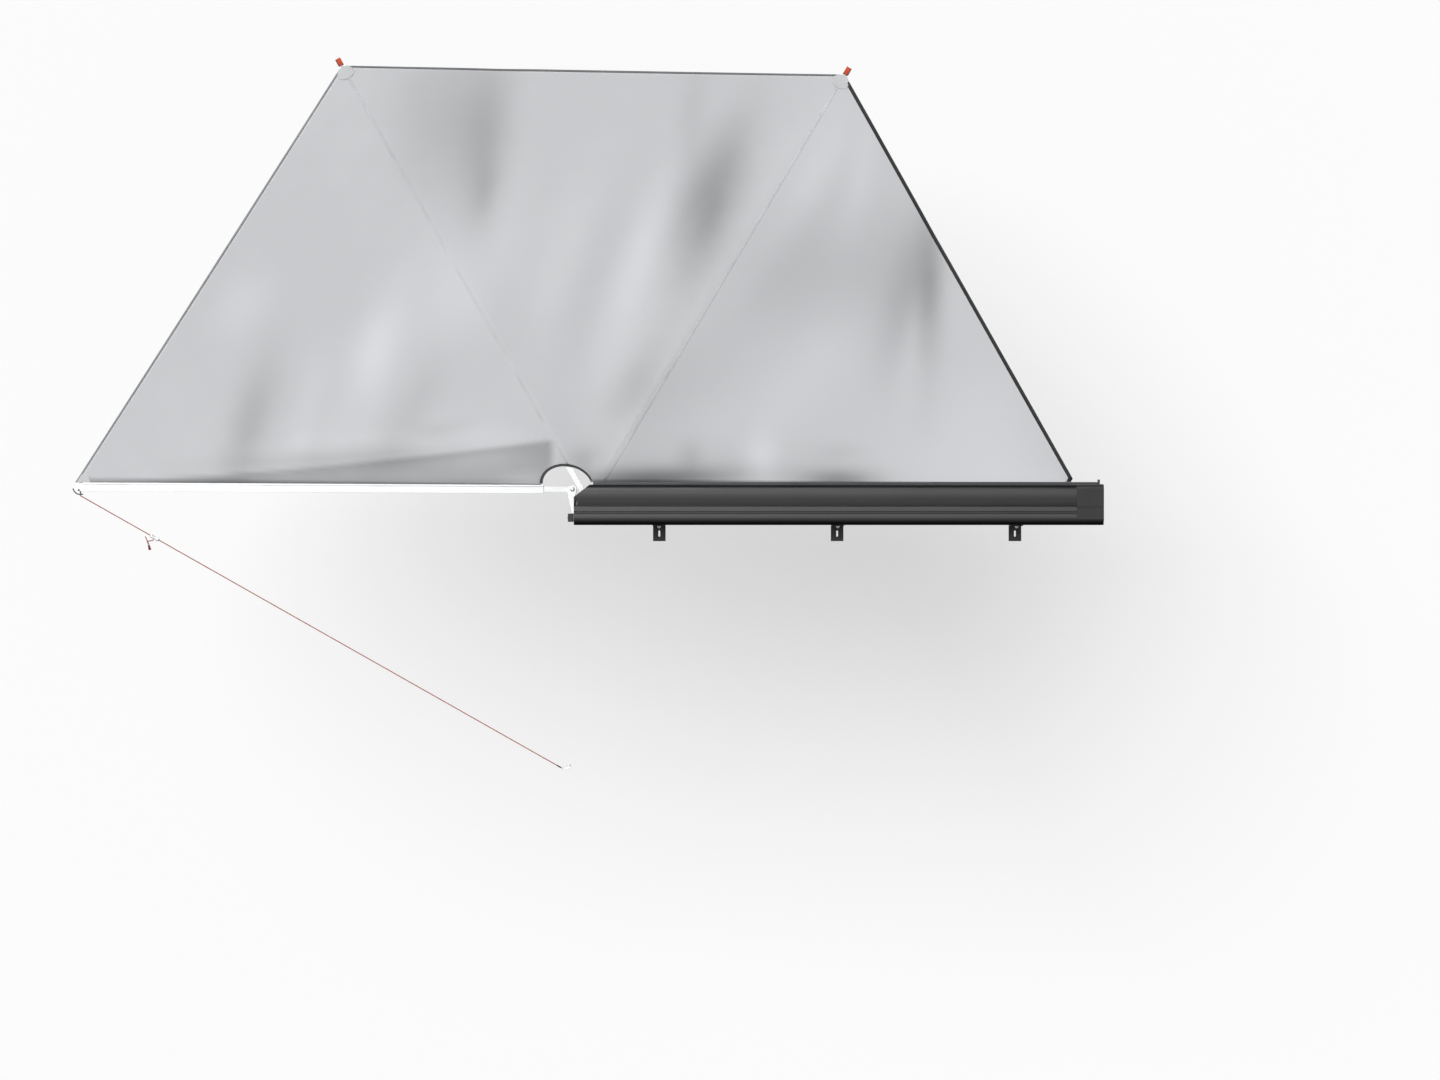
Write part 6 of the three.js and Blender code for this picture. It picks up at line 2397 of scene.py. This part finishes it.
    def strip(
        self, name: str, grid: Array, finish: Ripstop | Binding, share: Array, thick: float, nodes: tuple[str, ...] = ()
    ) -> Object:
        """A sheet of the canopy, with the cloth's painted light and shade on its points if its finish asks.

        Args:
            name: The piece's name.
            grid: Its points.
            finish: Its finish.
            share: How far each of its points follows the rear arm; not used.
            thick: Its thickness.
            nodes: The CAD nodes that it stands for.

        Returns:
            The sheet.
        """
        carry = Carry("case", "canopy_cloth", nodes)
        piece = make_piece(name, [Patch(grid)], finish, carry, outward=False, ride=False)
        # The painted light and shade goes on the points, where the finish reads it.
        if finish.takes_painted_shade:
            tone = piece.data.attributes.new(PAINTED_SHADE_ATTRIBUTE, "FLOAT", "POINT")
            tone.data.foreach_set("value", np.ascontiguousarray(self.painted_shading(grid), np.float32).ravel())
        self.follow(piece)
        thicken(piece, thick)
        return piece

    def main_cloth(self) -> Object:
        """The cloth itself, in place of its three CAD panels."""
        parts = [np.linspace(number, number + 1, count, endpoint=False) for number, count in enumerate(self.columns)]
        fan = np.concatenate([*parts, [3.0]])
        points = self.points(fan, np.linspace(0, 1, self.rows))
        nodes = ("canopy_rear", "canopy_middle", "canopy_front")
        return self.strip("canopy_cloth", points, CLOTH, self.turn_share(fan, points), self.cloth, nodes)

    def binding(
        self, name: str, span: tuple[float, float], edge: float, wide: float, finish: Binding, count: int
    ) -> Object:
        """A tape folded round an edge of the cloth: over its top, round the edge and back below.

        Args:
            name: The piece's name.
            span: The fan numbers that it runs between.
            edge: 1 for the outer hem and 0 for the inner edge.
            wide: How much of the tape lies on the cloth.
            finish: Its finish.
            count: How many columns it has.

        Returns:
            The tape.
        """
        fan = np.linspace(*span, count)
        ends = self.points(fan, np.array([0.0, 1.0]))
        reach = np.linalg.norm(ends[1] - ends[0], axis=-1)
        way = 1.0 if edge == 1 else -1.0
        across = np.array([-wide, -wide * 0.6, -wide * 0.2, 0.0, 0.0009, 0.0, -wide * 0.2, -wide * 0.6, -wide])
        rise = np.array([0.0007, 0.0009, 0.0010, 0.0009, 0.0, -0.0009, -0.0010, -0.0009, -0.0007])
        out = edge + way * across[:, None] / reach[None]
        grid = self.points(fan, np.clip(out, 0.0, 1.0))
        over = (out - np.clip(out, 0.0, 1.0)) * reach[None]
        grid = grid + over[..., None] * unit(ends[1] - ends[0])[None]
        grid[..., 2] += rise[:, None]
        row = self.points(fan, np.full((1, count), float(edge)))
        share = self.turn_share(fan, row) + self.own_share(grid) - self.own_share(row)
        return self.strip(name, grid, finish, share, self.tape)

    def corner_tape(self) -> Object:
        """The black tape that closes the blunt front corner, between the hem and the rail.

        Returns:
            The tape.
        """
        wide = self.front_hem_wide
        reach = float(np.linalg.norm(np.subtract(*self.points(np.array([2.0, 3.0]), np.array([0.5]))[0])))
        across = np.array([-wide, -wide * 0.5, 0.0, 0.0009, 0.0, -wide * 0.5])
        rise = np.array([0.0007, 0.0010, 0.0009, 0.0, -0.0009, -0.0009])
        rows = np.linspace(0.06, 1.0, 12)
        fan = 3 + np.minimum(across, 0.0) / reach
        grid = np.stack([self.points(np.array([value]), rows)[:, 0] for value in fan], axis=1)
        grid[..., 0] += np.maximum(across, 0.0)[None]
        grid[..., 2] += rise[None]
        share = self.own_share(grid) - self.own_share(grid[:, 2:3])
        return self.strip("hem_corner", grid, BLACK_BINDING, share, self.tape)

    def seam(self, name: str, at: float) -> Object:
        """A flat seam over an arm, where two panels are joined.

        Args:
            name: The piece's name.
            at: The arm's fan number.

        Returns:
            The seam.
        """
        out = np.linspace(0.004, 0.996, 120)
        middle = self.points(np.array([at]), out)[:, 0]
        tangent = unit(np.gradient(middle, axis=0))
        side = unit(np.cross(np.array(UPWARDS, float), tangent))
        across = np.array([-0.5, -0.45, -0.2, 0.2, 0.45, 0.5]) * self.seam_wide
        rise = np.array([0.0003, 0.0005, 0.0007, 0.0007, 0.0005, 0.0003])
        grid = middle[None] + across[:, None, None] * side[None]
        grid[..., 2] += rise[:, None]
        share = self.turn_share(np.array([at]), middle[:, None])[:, 0]
        near = self.own_share(grid) - self.own_share(middle)[None]
        return self.strip(name, grid, SEAM_TAPE, share[None] + near, self.tape)

    def patch(self, name: str, at: float) -> Object:
        """A sewn reinforcement at the tip of an arm, cut as a fan.

        Args:
            name: The piece's name.
            at: The arm's fan number.

        Returns:
            The patch.
        """
        size = self.patch_reach
        low, high = max(at - 1, 0.0), min(at + 1, 3.0)
        ends = self.points(np.array([low, at, high]), np.array([1.0]))[0]
        left, right = np.linalg.norm(ends[1] - ends[0]), np.linalg.norm(ends[2] - ends[1])
        half_left = size * self.patch_wide / left if low < at else 0.0
        half_right = size * self.patch_wide / right if high > at else 0.0
        fan = np.unique(np.concatenate([np.linspace(at - half_left, at, 13), np.linspace(at, at + half_right, 13)]))
        spread = np.abs(fan - at) / max(half_left, half_right)
        loss, power = self.patch_round
        reach = size * (1 - loss * spread**power) / ARM_MIDDLE.length
        rows = np.concatenate([np.linspace(0, 1, 20), [1.0, 1.0]])[:, None]
        grid = self.points(fan, 1 - reach[None] * (1 - rows))
        ends = self.points(fan, np.array([0.0, 1.0]))
        past = np.concatenate([np.zeros(20), [0.0012, 0.0008]])[:, None, None]
        grid = grid + past * unit(ends[1] - ends[0])[None]
        grid[..., 2] += np.concatenate([[0.0006], np.full(19, 0.0009), [0.0, -0.0004]])[:, None]
        return self.strip(name, grid, TIP_CLOTH, self.turn_share(fan, grid), self.tape)

    def beads(self) -> list[Object]:
        """The welt cords in the two grooves that hold the cloth: along the rear arm and along the rail."""
        inset_rear, inset_rail = self.welt_inset
        line = self.points(np.array([0.0]), np.linspace(0.004, 0.992, 60))[:, 0]
        line[:, 1] -= inset_rear
        x = np.linspace(float(self.rail_crossing()[0]) - 0.02, self.corner_x - self.blunt - 0.004, 80)
        path = together(x, self.rail_front - inset_rail, self.rail_height + 0.0003)
        made = []
        for name, run, finish, body in (
            ("rear_welt", line, PALE_BINDING, "arm_d"),
            ("rail_welt", path, DARK_BINDING, "case"),
        ):
            cord = solid_round(carried(circle(self.welt_radius, 10), run, UPWARDS))
            made.append(make_piece(name, [cord], finish, Carry(body, "canopy_cloth")))
        return made

    def build(self) -> None:
        """Builds the canopy."""
        cloth = self.main_cloth()
        sewn = [
            self.binding("hem_rear", (0.0, 0.984), 1, self.hem_wide, PALE_BINDING, 90),
            self.binding("hem_middle", (1.016, 1.984), 1, self.hem_wide, GREY_BINDING, 90),
            self.binding("hem_front", (2.016, 3.0), 1, self.front_hem_wide, BLACK_BINDING, 110),
            self.corner_tape(),
            self.binding("cutout_tape_rear", (0.02, 1.0), 0, self.cutout_tape_wide, DARK_BINDING, 60),
            self.binding("cutout_tape_middle", (1.0, 1.69), 0, self.cutout_tape_wide, DARK_BINDING, 50),
            self.seam("seam_over_middle_arm", 1.0),
            self.seam("seam_over_front_arm", 2.0),
            self.patch("tip_patch_rear", 0.0),
            self.patch("tip_patch_middle", 1.0),
            self.patch("tip_patch_front", 2.0),
            *self.beads(),
        ]


def corners(bounds: tuple[Vector, Vector]) -> list[list[float]]:
    """A box's two corners as plain lists."""
    return [[float(value) for value in corner] for corner in bounds]


def main() -> None:
    """Builds the awning sub-assembly by sub-assembly."""
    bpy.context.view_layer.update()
    Studio().build()
    GuyLine().build()
    Case().build()
    Hub().build()
    for size in ARMS:
        Arm(size).build()
        Leg(size).build()
    Canopy().build()
    bpy.context.view_layer.update()


if __name__ == "__main__":
    main()
